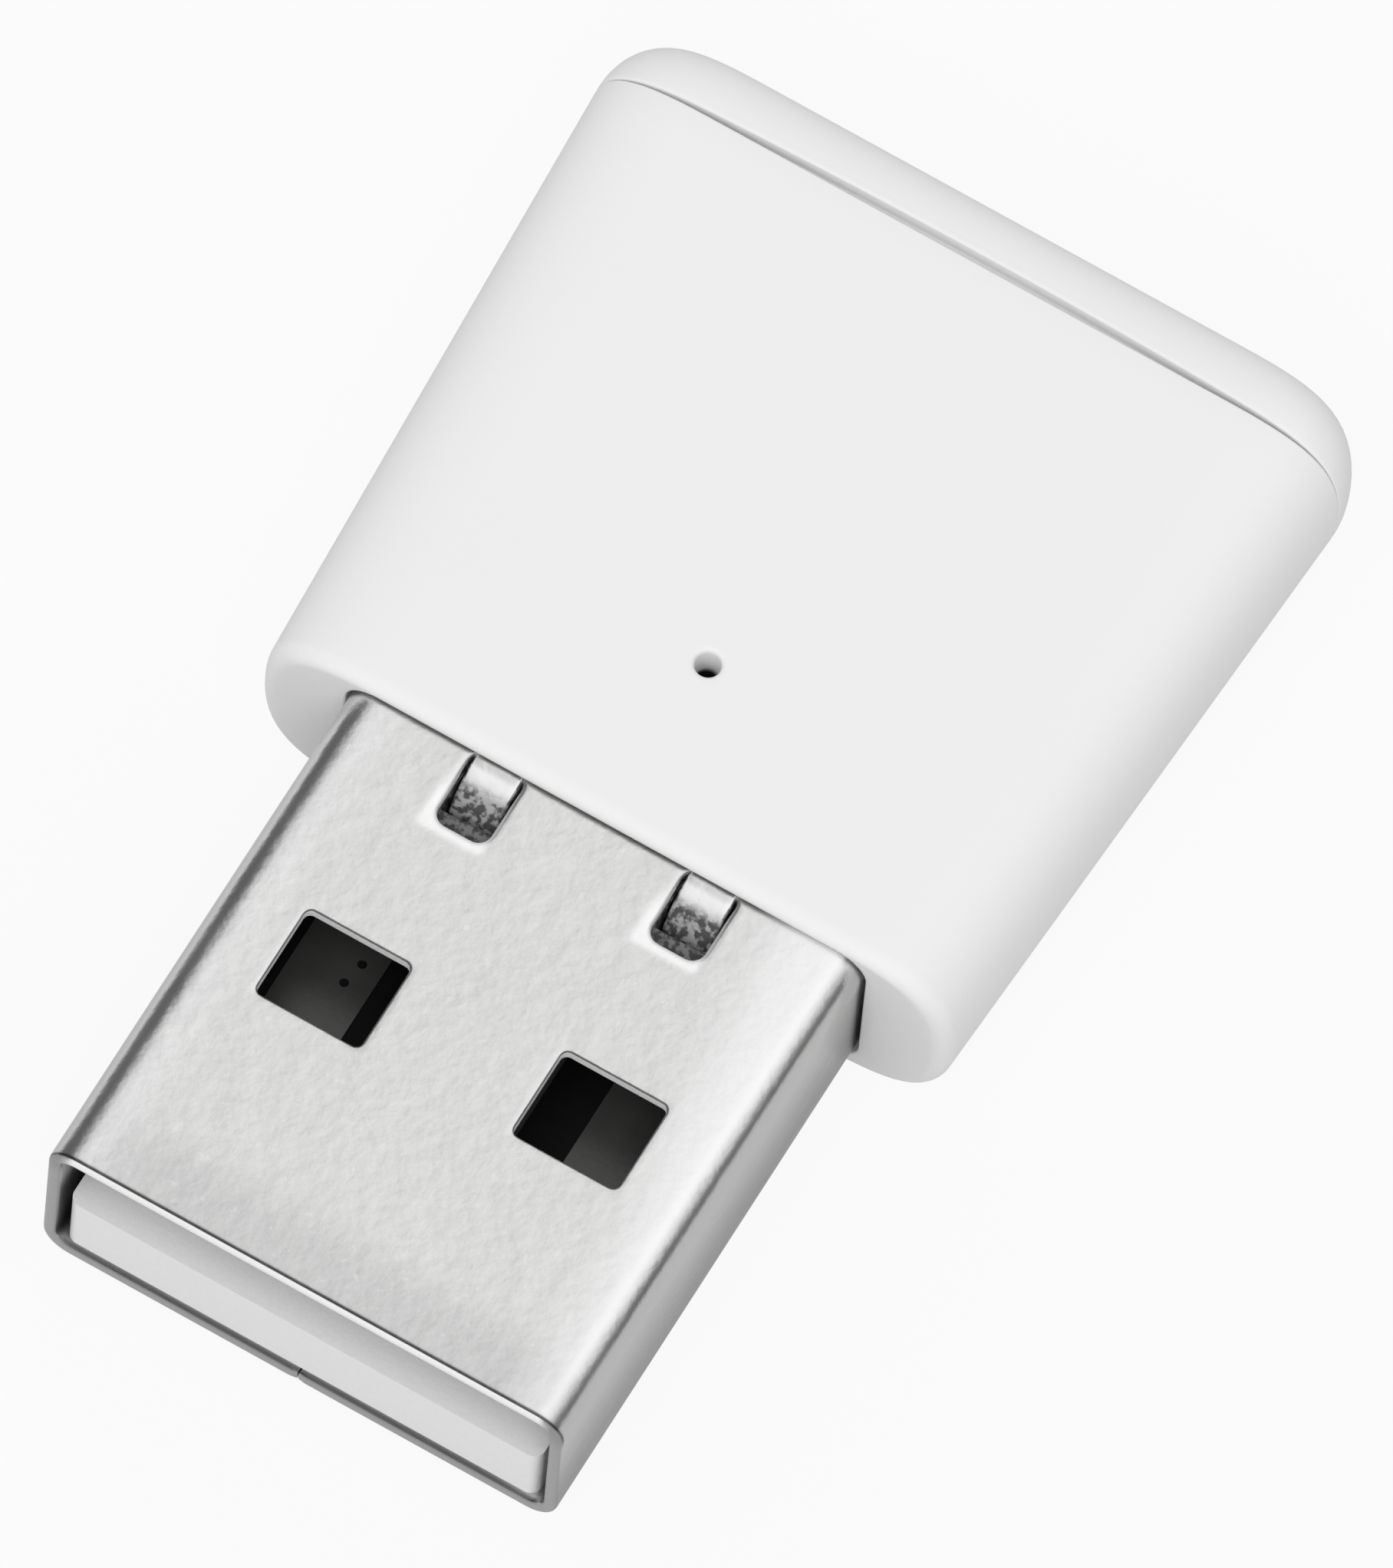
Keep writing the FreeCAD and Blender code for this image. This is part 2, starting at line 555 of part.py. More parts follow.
def voltage_regulator():
    """A five-leg regulator under the board, with bent legs on both long sides."""
    across, along, high = REGULATOR_SIZE
    body = box(-across / 2, across / 2, -along / 2, along / 2, LEAD_THICKNESS / 2, high)
    reach = REGULATOR_SPAN / 2
    knee = along / 2 + LEAD_THICKNESS
    rise = high / 2
    legs = []
    for side, places in ((1, (-1, 0, 1)), (-1, (-1, 1))):
        for place in places:
            x0 = place * REGULATOR_PITCH - LEAD_WIDTH / 2
            outline = [(0, rise), (knee, rise), (knee, LEAD_THICKNESS),
                       (reach, LEAD_THICKNESS), (reach, 0), (knee - LEAD_THICKNESS, 0),
                       (knee - LEAD_THICKNESS, rise - LEAD_THICKNESS), (0, rise - LEAD_THICKNESS)]
            points = [Vector(x0, side * y, z) for y, z in outline]
            face = Part.Face(Part.makePolygon(points + points[:1]))
            legs.append(face.extrude(Vector(LEAD_WIDTH, 0, 0)))
    return mounted(joined([body] + legs), 0, CAN_SETBACK + REGULATOR_SPAN / 2, below=True)


def indicator_led():
    """The indicator under the light well: a base with ends and a clear sloped lens."""
    across, along, high = LED_SIZE
    base_height = high / 2
    base = box(-across / 2, across / 2, -along / 2, along / 2, 0, base_height)
    rims = [body_rectangle(across - CHIP_END_STEP, along - 2 * CHIP_END, base_height),
            body_rectangle(across - CHIP_END, along - 3 * CHIP_END, high)]
    lens = Part.makeLoft(rims, True, True)
    return mounted(joined([base, lens]), 0, HOLE_SETBACK)


def body_rectangle(width, length, z):
    """A level rectangle about the Z axis."""
    corners = [Vector(sx * width / 2, sy * length / 2, z)
               for sx, sy in ((1, 1), (-1, 1), (-1, -1), (1, -1))]
    return Part.makePolygon(corners + corners[:1])


def meander_antenna():
    """The etched antenna: upright bars joined in turn at either end, and a feed."""
    width = (MEANDER_BARS - 1) * MEANDER_PITCH
    z0 = BOARD_TOP
    z1 = BOARD_TOP + TRACE_THICKNESS
    half = TRACE_WIDTH / 2
    runs = [box(-width / 2 - half, -width / 2 + half,
                CAN_SETBACK + CAN_LENGTH + CAN_SHEET, MEANDER_NEAR + TRACE_WIDTH, z0, z1)]
    for i in range(MEANDER_BARS):
        x = -width / 2 + i * MEANDER_PITCH
        runs.append(box(x - half, x + half, MEANDER_NEAR, MEANDER_FAR, z0, z1))
        if i + 1 < MEANDER_BARS:
            y = MEANDER_FAR - TRACE_WIDTH if i % 2 == 0 else MEANDER_NEAR
            runs.append(box(x, x + MEANDER_PITCH, y, y + TRACE_WIDTH, z0, z1))
    return joined(runs)


def shell_solder():
    """The solder round each prong under the board, sloped from the board to the tip."""
    x = PLUG_WIDTH / 2 - SHEET / 2
    y = (PRONG_FRONT + PRONG_REAR) / 2
    foot = body_rectangle(SHEET + 2 * SOLDER_SPREAD, PRONG_LENGTH + 2 * SOLDER_SPREAD, 0)
    head = body_rectangle(SHEET + SOLDER_SPREAD / 2, PRONG_LENGTH + SOLDER_SPREAD / 2,
                          -SOLDER_RISE)
    heap = Part.makeLoft([foot, head], True, True)
    heap = heap.cut(box(-SHEET / 2, SHEET / 2, -PRONG_LENGTH / 2, PRONG_LENGTH / 2,
                        -PRONG_STAND - OVERRUN, OVERRUN))
    heap.translate(Vector(x, y, BOARD_BOTTOM))
    return Part.makeCompound(both_sides(heap))


def small_parts():
    """The plain chips on both faces of the board, grouped by kind."""
    led_row = HOLE_SETBACK
    under_row = CAN_SETBACK + REGULATOR_SPAN / 2
    coil_row = CAN_MIDDLE - CAN_ROOM + COIL_CHIP[1] / 2
    ceramic = chip((SMALL_CHIP_LENGTH, SMALL_CHIP_WIDTH, CAPACITOR_HEIGHT))
    resistor = chip((SMALL_CHIP_LENGTH, SMALL_CHIP_WIDTH, RESISTOR_HEIGHT))
    coil = chip(COIL_CHIP)
    capacitors = [mounted(ceramic, 2 * ROW_PITCH, led_row),
                  mounted(ceramic, 3 * ROW_PITCH, led_row, 1),
                  mounted(ceramic, CRYSTAL_X + ROW_PITCH, coil_row + ROW_PITCH, 1),
                  mounted(ceramic, 0, under_row + 2 * ROW_PITCH, 0, True),
                  mounted(ceramic, 0, under_row + 3 * ROW_PITCH, 0, True),
                  mounted(ceramic, 2 * ROW_PITCH, under_row + 3 * ROW_PITCH, 1, True)]
    resistors = [mounted(resistor, -2 * ROW_PITCH, led_row),
                 mounted(resistor, -3 * ROW_PITCH, led_row, 1),
                 mounted(resistor, -2 * ROW_PITCH, under_row + 2 * ROW_PITCH, 0, True),
                 mounted(resistor, -2 * ROW_PITCH, under_row + 3 * ROW_PITCH, 0, True)]
    inductors = [mounted(coil, CRYSTAL_X, coil_row + ROW_PITCH * k) for k in (0, 1)]
    bulk_x = REGULATOR_SIZE[0] / 2 + BULK_WIDTH
    bulk = chip((BULK_LENGTH, BULK_WIDTH, UNDER_ROOM - BULK_CLEARANCE))
    return {
        "chip_capacitors": Part.makeCompound(capacitors),
        "chip_resistors": Part.makeCompound(resistors),
        "matching_inductors": Part.makeCompound(inductors),
        "bulk_capacitor": mounted(bulk, -bulk_x, under_row, 1, True),
        "ferrite_bead": mounted(chip(COIL_CHIP), bulk_x, under_row, 1, True),
    }


def pieces():
    """Every piece by the name of its node."""
    outer = OUTER_FINGER_SPACING / 2
    inner = INNER_FINGER_SPACING / 2
    named = {
        "housing_sleeve": housing_sleeve(),
        "end_cap": end_cap(),
        "plug_shell": plug_shell(),
        "board_carrier": board_carrier(),
        "main_board": main_board(),
        "contact_power": contact_finger(outer, OUTER_FINGER_WIDTH, OUTER_FINGER_START),
        "contact_data_minus": contact_finger(inner, INNER_FINGER_WIDTH, INNER_FINGER_START),
        "contact_data_plus": contact_finger(-inner, INNER_FINGER_WIDTH, INNER_FINGER_START),
        "contact_ground": contact_finger(-outer, OUTER_FINGER_WIDTH, OUTER_FINGER_START,
                                         GROUND_VIAS),
        "shield_can": shield_can(),
        "radio_chip": radio_chip(),
        "crystal": crystal(),
        "voltage_regulator": voltage_regulator(),
        "indicator_led": indicator_led(),
        "meander_antenna": meander_antenna(),
        "shell_solder": shell_solder(),
    }
    named.update(small_parts())
    return named


def main():
    os.makedirs("parts", exist_ok=True)
    to_origin = Vector(0, (PLUG_OUT - BODY_LENGTH) / 2, HALF_HEIGHT)
    for name, shape in pieces().items():
        shape.translate(to_origin)
        shape.exportStep("parts/" + name + ".step")
        print(name, shape.isValid(), len(shape.Solids), round(shape.Volume, 3))


main()
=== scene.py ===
import math

import bmesh
import bpy
import numpy as np
from mathutils import Matrix, Vector


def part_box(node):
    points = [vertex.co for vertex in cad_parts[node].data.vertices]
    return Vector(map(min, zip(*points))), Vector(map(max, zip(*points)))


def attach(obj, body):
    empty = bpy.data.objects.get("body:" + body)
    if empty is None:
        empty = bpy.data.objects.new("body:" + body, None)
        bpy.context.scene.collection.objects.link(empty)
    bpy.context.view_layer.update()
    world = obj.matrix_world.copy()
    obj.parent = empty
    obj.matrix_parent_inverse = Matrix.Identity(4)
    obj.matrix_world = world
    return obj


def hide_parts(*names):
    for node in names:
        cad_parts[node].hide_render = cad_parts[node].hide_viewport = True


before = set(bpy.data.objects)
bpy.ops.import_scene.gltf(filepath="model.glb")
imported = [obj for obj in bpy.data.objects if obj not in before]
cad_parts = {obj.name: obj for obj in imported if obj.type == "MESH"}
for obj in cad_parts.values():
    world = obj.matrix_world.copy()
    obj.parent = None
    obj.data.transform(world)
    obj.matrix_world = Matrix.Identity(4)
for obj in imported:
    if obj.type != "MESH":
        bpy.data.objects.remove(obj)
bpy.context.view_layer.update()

# Sizes in millimetres, as in the part's source, but for softer edges, a seam pressed shut on a
# square key, a joint a hair wider and closed by a land, and a far end a hair narrower. Points
# are worked out about the plug's middle plane, with Y = 0 at the face where the plug leaves
# the housing.
MM = 0.001

# Plug shell
PLUG_HALF_WIDTH = 6.0
PLUG_HALF_HEIGHT = 2.25
PLUG_OUT = 12.0
PLUG_INSIDE = 2.6
SHEET = 0.3
BEND_RADIUS = 0.65
MOUTH_EDGE = 0.12
OPENING_EDGE = 0.06
TAB_OPENING_EDGE = 0.12
CUT_FLAT = 0.02
SEAM_EDGE = 0.03
SEAM_GAP = 0.01
SEAM_KEY_LENGTH = 1.4
SEAM_KEY_REACH = 0.8
SEAM_KEY_SETBACK = 3.4
SEAM_KEY_GAP = 0.05
SEAM_FADE = 2.0
WINDOW_HALF = (1.225, 1.075)
WINDOW_CORNER = 0.16
WINDOW_X = 3.0
WINDOW_SETBACK = 5.16
TAB_X = 2.5
TAB_HALF_WIDTH = 0.55
TAB_LENGTH = 1.7
TAB_CURVE = 1.3
TAB_HINGE = 0.1
TAB_CORNER = 0.3
TAB_GAP = 0.06
LEG_REACH = 2.3
LEG_HEIGHT = 1.1
PRONG_LENGTH = 1.3
PRONG_STAND = 0.4

# Housing
BODY_LENGTH = 16.05
BODY_WIDTH_FRONT = 16.1
BODY_WIDTH_BACK = 17.697
HALF_HEIGHT = 2.6
SIDE_ROUND = 2.6
SIDE_FULLNESS = 0.76
FRONT_DEPTH = 0.4
FRONT_CORNER = 0.4
FRONT_DROP = 0.22
SLOT_GAP = 0.08
WALL = 0.75
SIDE_WALL = 1.0
FRONT_WALL = 1.2
EDGE = 0.05
HOLE_Y = 4.05
HOLE_RADIUS = 0.28
HOLE_END_RADIUS = 0.22
HOLE_EDGE = 0.1
HOLE_EASE = 0.01
WELL_WALL = 0.45
WELL_STANDOFF = 0.25

# End cap
CAP_DEPTH = 1.45
CAP_CORNER = 1.2
CAP_END_HALF_HEIGHT = 1.95
CAP_GAP = 0.22
CAP_WALL = 0.95
GROOVE_DEPTH = 0.42
LAND_GAP = 0.01
SPIGOT_LENGTH = 1.6
SPIGOT_WALL = 0.6
FIT = 0.05

# Board
BOARD_TOP = 0.08
BOARD_THICKNESS = 0.8
INDICATOR_HEIGHT = 0.6
CONTACTS = ("contact_power", "contact_data_minus", "contact_data_plus", "contact_ground")

# Worked out from the values above
FLAT_HALF_WIDTH = PLUG_HALF_WIDTH - BEND_RADIUS
WALL_HEIGHT = 2 * (PLUG_HALF_HEIGHT - BEND_RADIUS)
BEND_LENGTH = BEND_RADIUS * math.pi / 2
WINDOW_Y = WINDOW_SETBACK + WINDOW_HALF[1] - PLUG_OUT
PRONG_REAR = PLUG_INSIDE + LEG_REACH
PRONG_FRONT = PRONG_REAR - PRONG_LENGTH
PRONG_END = BOARD_TOP - BOARD_THICKNESS - PRONG_STAND
LEG_BOTTOM = BOARD_TOP + FIT
LEG_TOP = LEG_BOTTOM + LEG_HEIGHT
SLEEVE_END = BODY_LENGTH - CAP_DEPTH
WELL_RADIUS = HOLE_RADIUS + WELL_WALL
WELL_END = BOARD_TOP + INDICATOR_HEIGHT + WELL_STANDOFF

# The grids: counts of steps, spans and steps in millimetres, and angles
TOP_STEPS = 40
SIDE_STEPS = 16
TURN_STEPS = 12
EDGE_STEPS = 4
FACE_STEPS = 6
FRONT_STEPS = 6
REAR_STEPS = 16
BACK_STEPS = 4
HOLE_SPAN = 1.1
HOLE_STEPS = 8
BEND_STEPS = 8
TAB_STEPS = 8
LEG_STEPS = 4
SHELL_STEP = 0.15
OPENING_MARGIN = 1.2 * SHELL_STEP
SEAM_STEP = 0.01
MERGED_WITHIN = 1e-4
SHARP = math.radians(32)
EDGE_ANGLES = np.linspace(0, math.pi / 2, EDGE_STEPS + 1)

# Rings on the way to a loop or a pole, as shares of the way or of the loop's size
HOLE_RING_SHARES = (0.35, 0.65, 0.88, 1)
CORE_SHARES = (0, 0.5)
END_SHARES = (0.94, 0.8, 0.6, 0.3, 0)

# Bands over which the looks change. Places are in millimetres: back or out of the plug's
# root, up from its middle plane, or aside. Turns are parts of a face's unit normal. The last
# two are bands of a noise's own values.
# Painted shade, near black, low in the indicator hole
HOLE_DARK_TOP = (HALF_HEIGHT - 0.95, HALF_HEIGHT - 0.7)
HOLE_DARK_END = (WELL_END - 0.05, WELL_END - 0.02)
HOLE_DARK_REACH = (0.45, 0.5)
CARRIER_DARK_START = (-3, -2.8)
MOUTH_START = (PLUG_OUT - 0.2, PLUG_OUT - 0.1)
# Painted shade along the mouth, growing over this band towards the mouth
MOUTH_SHADE_START = (10, 11.3)
UPPER_HALF = (1.2, 1.7)
UPPER_SKIN = (2, 2.1)
FLAT_END = (FLAT_HALF_WIDTH + 0.05, FLAT_HALF_WIDTH + 0.4)
# Painted highlight beside the side bends
BEND_HIGHLIGHT_START = (4.2, 5.3)
# Painted highlight on the right of the top, strongest near the root
SHEEN_START = (3.2, 4.9)
SHEEN_SLANT = 0.1
# Painted shade on the side walls, lighter over this band upwards
WALL_LIGHTER = (-1.6, 1.8)
WINDOW_END = (0.2, 0.3)
TAB_SIDE = (TAB_HALF_WIDTH, TAB_HALF_WIDTH + 0.02)
TAB_END = (1.45, 1.5)
TAB_HEIGHT = (0.6, 0.7)
# Painted highlight round the tabs' openings
HALO_END = (0.06, 0.27)
HALO_START = (0.3, 1.2)
HALO_LEFT = 0.1
HALO_OUT = 0.06
TOP_CUT_TURN = (0.42, 0.64)
OVER_TURN = (0.05, 0.16)
RIM_TURN = (0.3, 0.6)
INNER_TURN = (0.7, 0.9)
LEVEL_TURN = (0.2, 0.45)
WALL_TURN = (0.55, 0.9)
SHEEN_TURN = (0.9, 0.98)
# Painted highlight where the tabs begin to bend, painted shade where they are steep
BENT_TURN = (0.96, 0.995)
STEEP_TURN = (0.8, 0.93)
MOTTLE_NOISE = (0.42, 0.6)
SPECK_NOISE = (0.62, 0.74)

# The floor and the light
FLOOR_HALF = 0.6
FLOOR_DROP = 0.01
FLOOR_WHITE = 0.9
FLOOR_IN_GLOSS = 0.3
ROOM_BACK = 0.35
ROOM_RIGHT = 0.25
ROOM_RISE = (0.6, 1.12)
LAMP_STRENGTH = 1.3
LAMP_SPREAD = math.radians(50)
LAMP_TURN = (math.radians(28), math.radians(8), 0)

# The camera, as found from the plug's standard sizes in the picture
PICTURE_HEIGHT = 2044
SENSOR = 36.0
PIXELS_PER_MM = 64.51
ROOT_RIGHT_OF_MIDDLE = -123.9
ROOT_BELOW_MIDDLE = 115.4
CAMERA_ELEVATION = 1.14176
CAMERA_TURN = 0.43234
CAMERA_ROLL = -0.1059
CAMERA_DISTANCE = 1.2
CAMERA_SEES = (0.01, 5)

sleeve_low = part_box("housing_sleeve")[0]
shell_low, shell_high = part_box("plug_shell")
ROOT = np.array([0, sleeve_low.y, (shell_low.z + shell_high.z) / 2])


class Wire:
    """One socket of a material's nodes, in arithmetic that adds its Math nodes."""

    def __init__(self, bench, socket):
        self.bench = bench
        self.socket = socket

    def maths(self, operation, *values):
        return self.bench.add("ShaderNodeMath", {"operation": operation}, dict(enumerate(values)))

    def __add__(self, other):
        return self.maths("ADD", self, other)

    def __radd__(self, other):
        return self.maths("ADD", other, self)

    def __sub__(self, other):
        return self.maths("SUBTRACT", self, other)

    def __rsub__(self, other):
        return self.maths("SUBTRACT", other, self)

    def __mul__(self, other):
        return self.maths("MULTIPLY", self, other)

    def __rmul__(self, other):
        return self.maths("MULTIPLY", other, self)

    def __pow__(self, other):
        return self.maths("POWER", self, other)

    def size(self):
        return self.maths("ABSOLUTE", self)

    def or_more(self, other):
        return self.maths("MAXIMUM", self, other)

    def or_less(self, other):
        return self.maths("MINIMUM", self, other)


class Bench:
    """The nodes of one material or of the world."""

    def __init__(self, owner):
        owner.use_nodes = True
        self.nodes = owner.node_tree.nodes
        self.links = owner.node_tree.links
        self.nodes.clear()

    def add(self, kind, settings=None, inputs=None, output=0):
        """A node of a type, with its settings and then the values or links of its sockets."""
        node = self.nodes.new(kind)
        for key, value in (settings or {}).items():
            setattr(node, key, value)
        for key, value in (inputs or {}).items():
            if isinstance(value, Wire):
                self.links.new(value.socket, node.inputs[key])
            else:
                node.inputs[key].default_value = value
        return Wire(self, node.outputs[output]) if node.outputs else node

    def noise(self, per_mm, detail=2.0, stretch=(1, 1, 1)):
        """Noise from 0 to 1 on the piece's own coordinates."""
        place = self.add("ShaderNodeTexCoord", output="Object")
        place = self.add("ShaderNodeMapping", {}, {"Vector": place, "Scale": stretch})
        return self.add("ShaderNodeTexNoise", {},
                        {"Vector": place, "Scale": per_mm / MM, "Detail": detail}, "Fac")

    def apart(self, vector, axis):
        """One of a vector's three numbers."""
        return self.add("ShaderNodeSeparateXYZ", {}, {"Vector": vector}, axis)

    def places(self):
        """How far right of, back from and above the plug's root, in millimetres."""
        place = self.add("ShaderNodeTexCoord", output="Object")
        return [(self.apart(place, axis) - at) * (1 / MM) for axis, at in zip("XYZ", ROOT)]

    def step(self, value, low, high):
        """0 below one value, 1 above the other, smooth between."""
        return self.add("ShaderNodeMapRange", {"interpolation_type": "SMOOTHSTEP"},
                        {"Value": value, "From Min": low, "From Max": high})

    def below(self, value, low, high):
        """1 below one value, 0 above the other, smooth between."""
        return self.step(0 - value, -high, -low)

    def mottle(self):
        """Fine blotches, 0 or 1 with soft edges."""
        return self.step(self.noise(6, 3), *MOTTLE_NOISE)

    def mix(self, factor, first, second):
        """A colour between two: the node's sockets 0, 6 and 7 are its factor and colours."""
        return self.add("ShaderNodeMix", {"data_type": "RGBA"},
                        {0: factor, 6: first, 7: second}, 2)

    def bump(self, height, depth_mm):
        """A relief whose height of 1 stands for the given depth."""
        return self.add("ShaderNodeBump", {}, {"Height": height, "Distance": depth_mm * MM})

    def surface(self, **values):
        """The Principled shader and the output. Spaces in a socket's name are underscores."""
        inputs = {key.replace("_", " "): value for key, value in values.items()}
        shader = self.add("ShaderNodeBsdfPrincipled", {}, inputs)
        self.add("ShaderNodeOutputMaterial", {}, {"Surface": shader})


def tint(red, green, blue):
    """A colour, with no transparency."""
    return (red, green, blue, 1)


def grey(value, warm=0.0):
    """A neutral colour, a little warmer or cooler."""
    return tint(value * (1 + warm), value, value * (1 - warm))


def satin_moulding(name):
    """White moulded plastic: an even satin skin with the faintest grain and cloud.

    Low in the indicator hole the skin is painted near black, as painted shade: a circle about the
    hole, between two depths.
    """
    material = bpy.data.materials.new(name)
    bench = Bench(material)
    cloud = bench.noise(0.12)
    grain = bench.noise(14, 3)
    right, back, up = bench.places()
    from_hole = (right ** 2 + (back - HOLE_Y) ** 2) ** 0.5
    # Painted shade: near black low in the indicator hole.
    dark = bench.below(up, *HOLE_DARK_TOP) * bench.step(up, *HOLE_DARK_END) \
        * bench.below(from_hole, *HOLE_DARK_REACH)
    white = bench.mix(cloud, grey(0.863), grey(0.887))
    bench.surface(Base_Color=bench.mix(dark, white, grey(0.02)),
                  Roughness=0.4 + 0.12 * grain, IOR=1.46,
                  Normal=bench.bump(grain, 0.003))
    return material


def mouth_masks(bench, aside, out, up, ahead, faces_up):
    """The top's cut face, whose brightness is a painted highlight, the painted dark line where the
    top turns over, and the rim and its inner edge, in painted shade.
    """
    mouth = bench.step(out, *MOUTH_START)
    high = bench.step(up, *UPPER_HALF)
    top = high * bench.below(aside, *FLAT_END)
    # Painted highlight on the top's cut; painted shade on the turn-over line, the rim and its
    # inner edge.
    top_cut = bench.step(ahead, *TOP_CUT_TURN) * mouth * top
    over = bench.step(ahead, *OVER_TURN) * mouth * high
    rim = bench.step(ahead, *RIM_TURN) * mouth * (1 - top)
    inner = bench.step(faces_up, *INNER_TURN) * mouth * (1 - high)
    return top_cut, over, rim, inner


def window_mask(bench, aside, out):
    """The neighbourhood of the four windows."""
    across, along = [tuple(half + end for end in WINDOW_END) for half in WINDOW_HALF]
    return bench.below((aside - WINDOW_X).size(), *across) \
        * bench.below((out + WINDOW_Y).size(), *along)


def tab_masks(bench, right, out, up, faces_up):
    """The tabs where they begin to bend, for a painted highlight, where they are steep, for
    mottled painted shade, and a painted highlight round them.

    The highlight round them follows the distance to each tab's opening, which is drawn a little
    to the left and out.
    """
    tabs = bench.step(up, *TAB_HEIGHT) * bench.below(out, *TAB_END) \
        * bench.below((right.size() - TAB_X).size(), *TAB_SIDE)
    # Painted highlight where the tabs begin to bend, painted shade where they are steep.
    bent = bench.below(faces_up, *BENT_TURN) * tabs
    steep = bench.below(faces_up, *STEEP_TURN) * tabs
    # A painted highlight round each tab's opening.
    beside = (right - TAB_X + HALO_LEFT).size().or_less((right + TAB_X + HALO_LEFT).size())
    beyond = (beside - TAB_HALF_WIDTH - TAB_GAP).or_more(0) ** 2 \
        + (out - TAB_LENGTH - HALO_OUT).or_more(0) ** 2
    halo = bench.below(beyond ** 0.5, *HALO_END) * bench.step(up, *UPPER_SKIN) \
        * bench.step(out, *HALO_START)
    return bent, steep, halo


def nickel_plate():
    """Plated steel sheet: cloudy and dimpled, with matt bright metal on its cut edges.

    A face counts as cut along the top of the mouth, or where it points level at the windows.
    At the windows the cut is bare bright metal; along the top of the mouth it is bare metal whose
    brightness is a painted highlight. The skin has painted highlights beside the side bends, most
    of all on the right and near the root, and round the tabs' openings. Along the mouth it is
    darker with painted shade, with a painted dark line where it turns over into the cut. The
    side walls carry painted shade, darker towards the bottom, and the rest of the mouth's cut is
    an even grey of painted shade, darker along its inner edge at the bottom. The tabs have a
    painted highlight where they begin to bend and mottled painted shade where they are steep.
    """
    material = bpy.data.materials.new("nickel_plate")
    bench = Bench(material)
    cloud = bench.noise(0.4, 3)
    dimple = bench.noise(2.6, 3)
    grain = bench.noise(11, 2)
    marks = bench.noise(3.2, 4, (1, 0.12, 1))
    speck = bench.step(bench.noise(4.5, 2), *SPECK_NOISE)
    mottle = bench.mottle()
    right, back, up = bench.places()
    aside = right.size()
    out = 0 - back
    pointing = bench.add("ShaderNodeNewGeometry", output="Normal")
    ahead = 0 - bench.apart(pointing, "Y")
    faces_up = bench.apart(pointing, "Z")
    top_cut, over, rim, inner = mouth_masks(bench, aside, out, up, ahead, faces_up)
    bent, steep, halo = tab_masks(bench, right, out, up, faces_up)
    level = bench.below(faces_up.size(), *LEVEL_TURN)
    # Bare cut metal at the windows; along the top of the mouth its brightness is a painted
    # highlight.
    cut = top_cut.or_more(level * window_mask(bench, aside, out))
    wall = bench.step(bench.apart(pointing, "X").size(), *WALL_TURN)
    # Painted highlight beside the side bends.
    bend_highlight = bench.step(aside, *BEND_HIGHLIGHT_START)
    # Painted highlight on the right of the top, strongest near the root.
    sheen = bench.step(right - SHEEN_SLANT * out, *SHEEN_START) \
        * bench.step(faces_up, *SHEEN_TURN)
    # Painted shade along the mouth.
    mouth_shade = bench.step(out, *MOUTH_SHADE_START)

    # Whites for the painted highlights and the specks, and for bare cut metal, which also gives
    # the painted highlights at the top of the mouth and on the tabs.
    bright = grey(0.98)
    cut_metal_and_highlight = grey(0.97)
    shade = 0.5 * cloud + 0.3 * dimple + 0.2 * grain
    plate = bench.mix(shade, grey(0.77, 0.004), grey(0.98, 0.006))
    # Painted shade along the mouth.
    plate = bench.mix(0.55 * mouth_shade, plate, grey(0.66))
    # Painted highlights beside the bends, on the right near the root, and round the tabs'
    # openings.
    plate = bench.mix((0.6 * bend_highlight).or_more(sheen).or_more(halo), plate, bright)
    plate = bench.mix(0.4 * speck, plate, bright)
    # Painted shade on the side walls, darker towards the bottom.
    wall_shade = bench.mix(bench.step(up, *WALL_LIGHTER), grey(0.13, 0.004), grey(0.54, 0.004))
    plate = bench.mix(0.75 * wall, plate, wall_shade)
    # A painted dark line where the top turns over into the cut.
    plate = bench.mix(0.85 * over, plate, grey(0.1))
    # Painted shade: the rest of the mouth's cut in an even grey.
    plate = bench.mix(0.9 * rim, plate, grey(0.31))
    # Darker painted shade along the rim's inner edge at the bottom.
    plate = bench.mix(0.85 * inner, plate, grey(0.14))
    # Painted highlight where the tabs begin to bend, mottled painted shade where they are steep.
    plate = bench.mix(bent, plate, cut_metal_and_highlight)
    plate = bench.mix(steep, plate, bench.mix(mottle, grey(0.12), grey(0.56)))
    matt = (0.85 * cut).or_more(0.7 * bent).or_more(0.5 * sheen).or_more(0.75 * halo) \
        .or_more(0.8 * rim)
    relief = (0.012 * cloud + 0.018 * dimple) * (1 - 0.7 * wall) + 0.0012 * grain \
        + 0.008 * steep * mottle
    # Cut faces in bright metal: bare at the windows, a painted highlight along the top of the
    # mouth.
    bench.surface(Base_Color=bench.mix(cut, plate, cut_metal_and_highlight), Metallic=1 - matt,
                  Roughness=0.2 + 0.1 * cloud + 0.08 * marks + 0.25 * cut,
                  Normal=bench.bump(relief, 1))
    return material


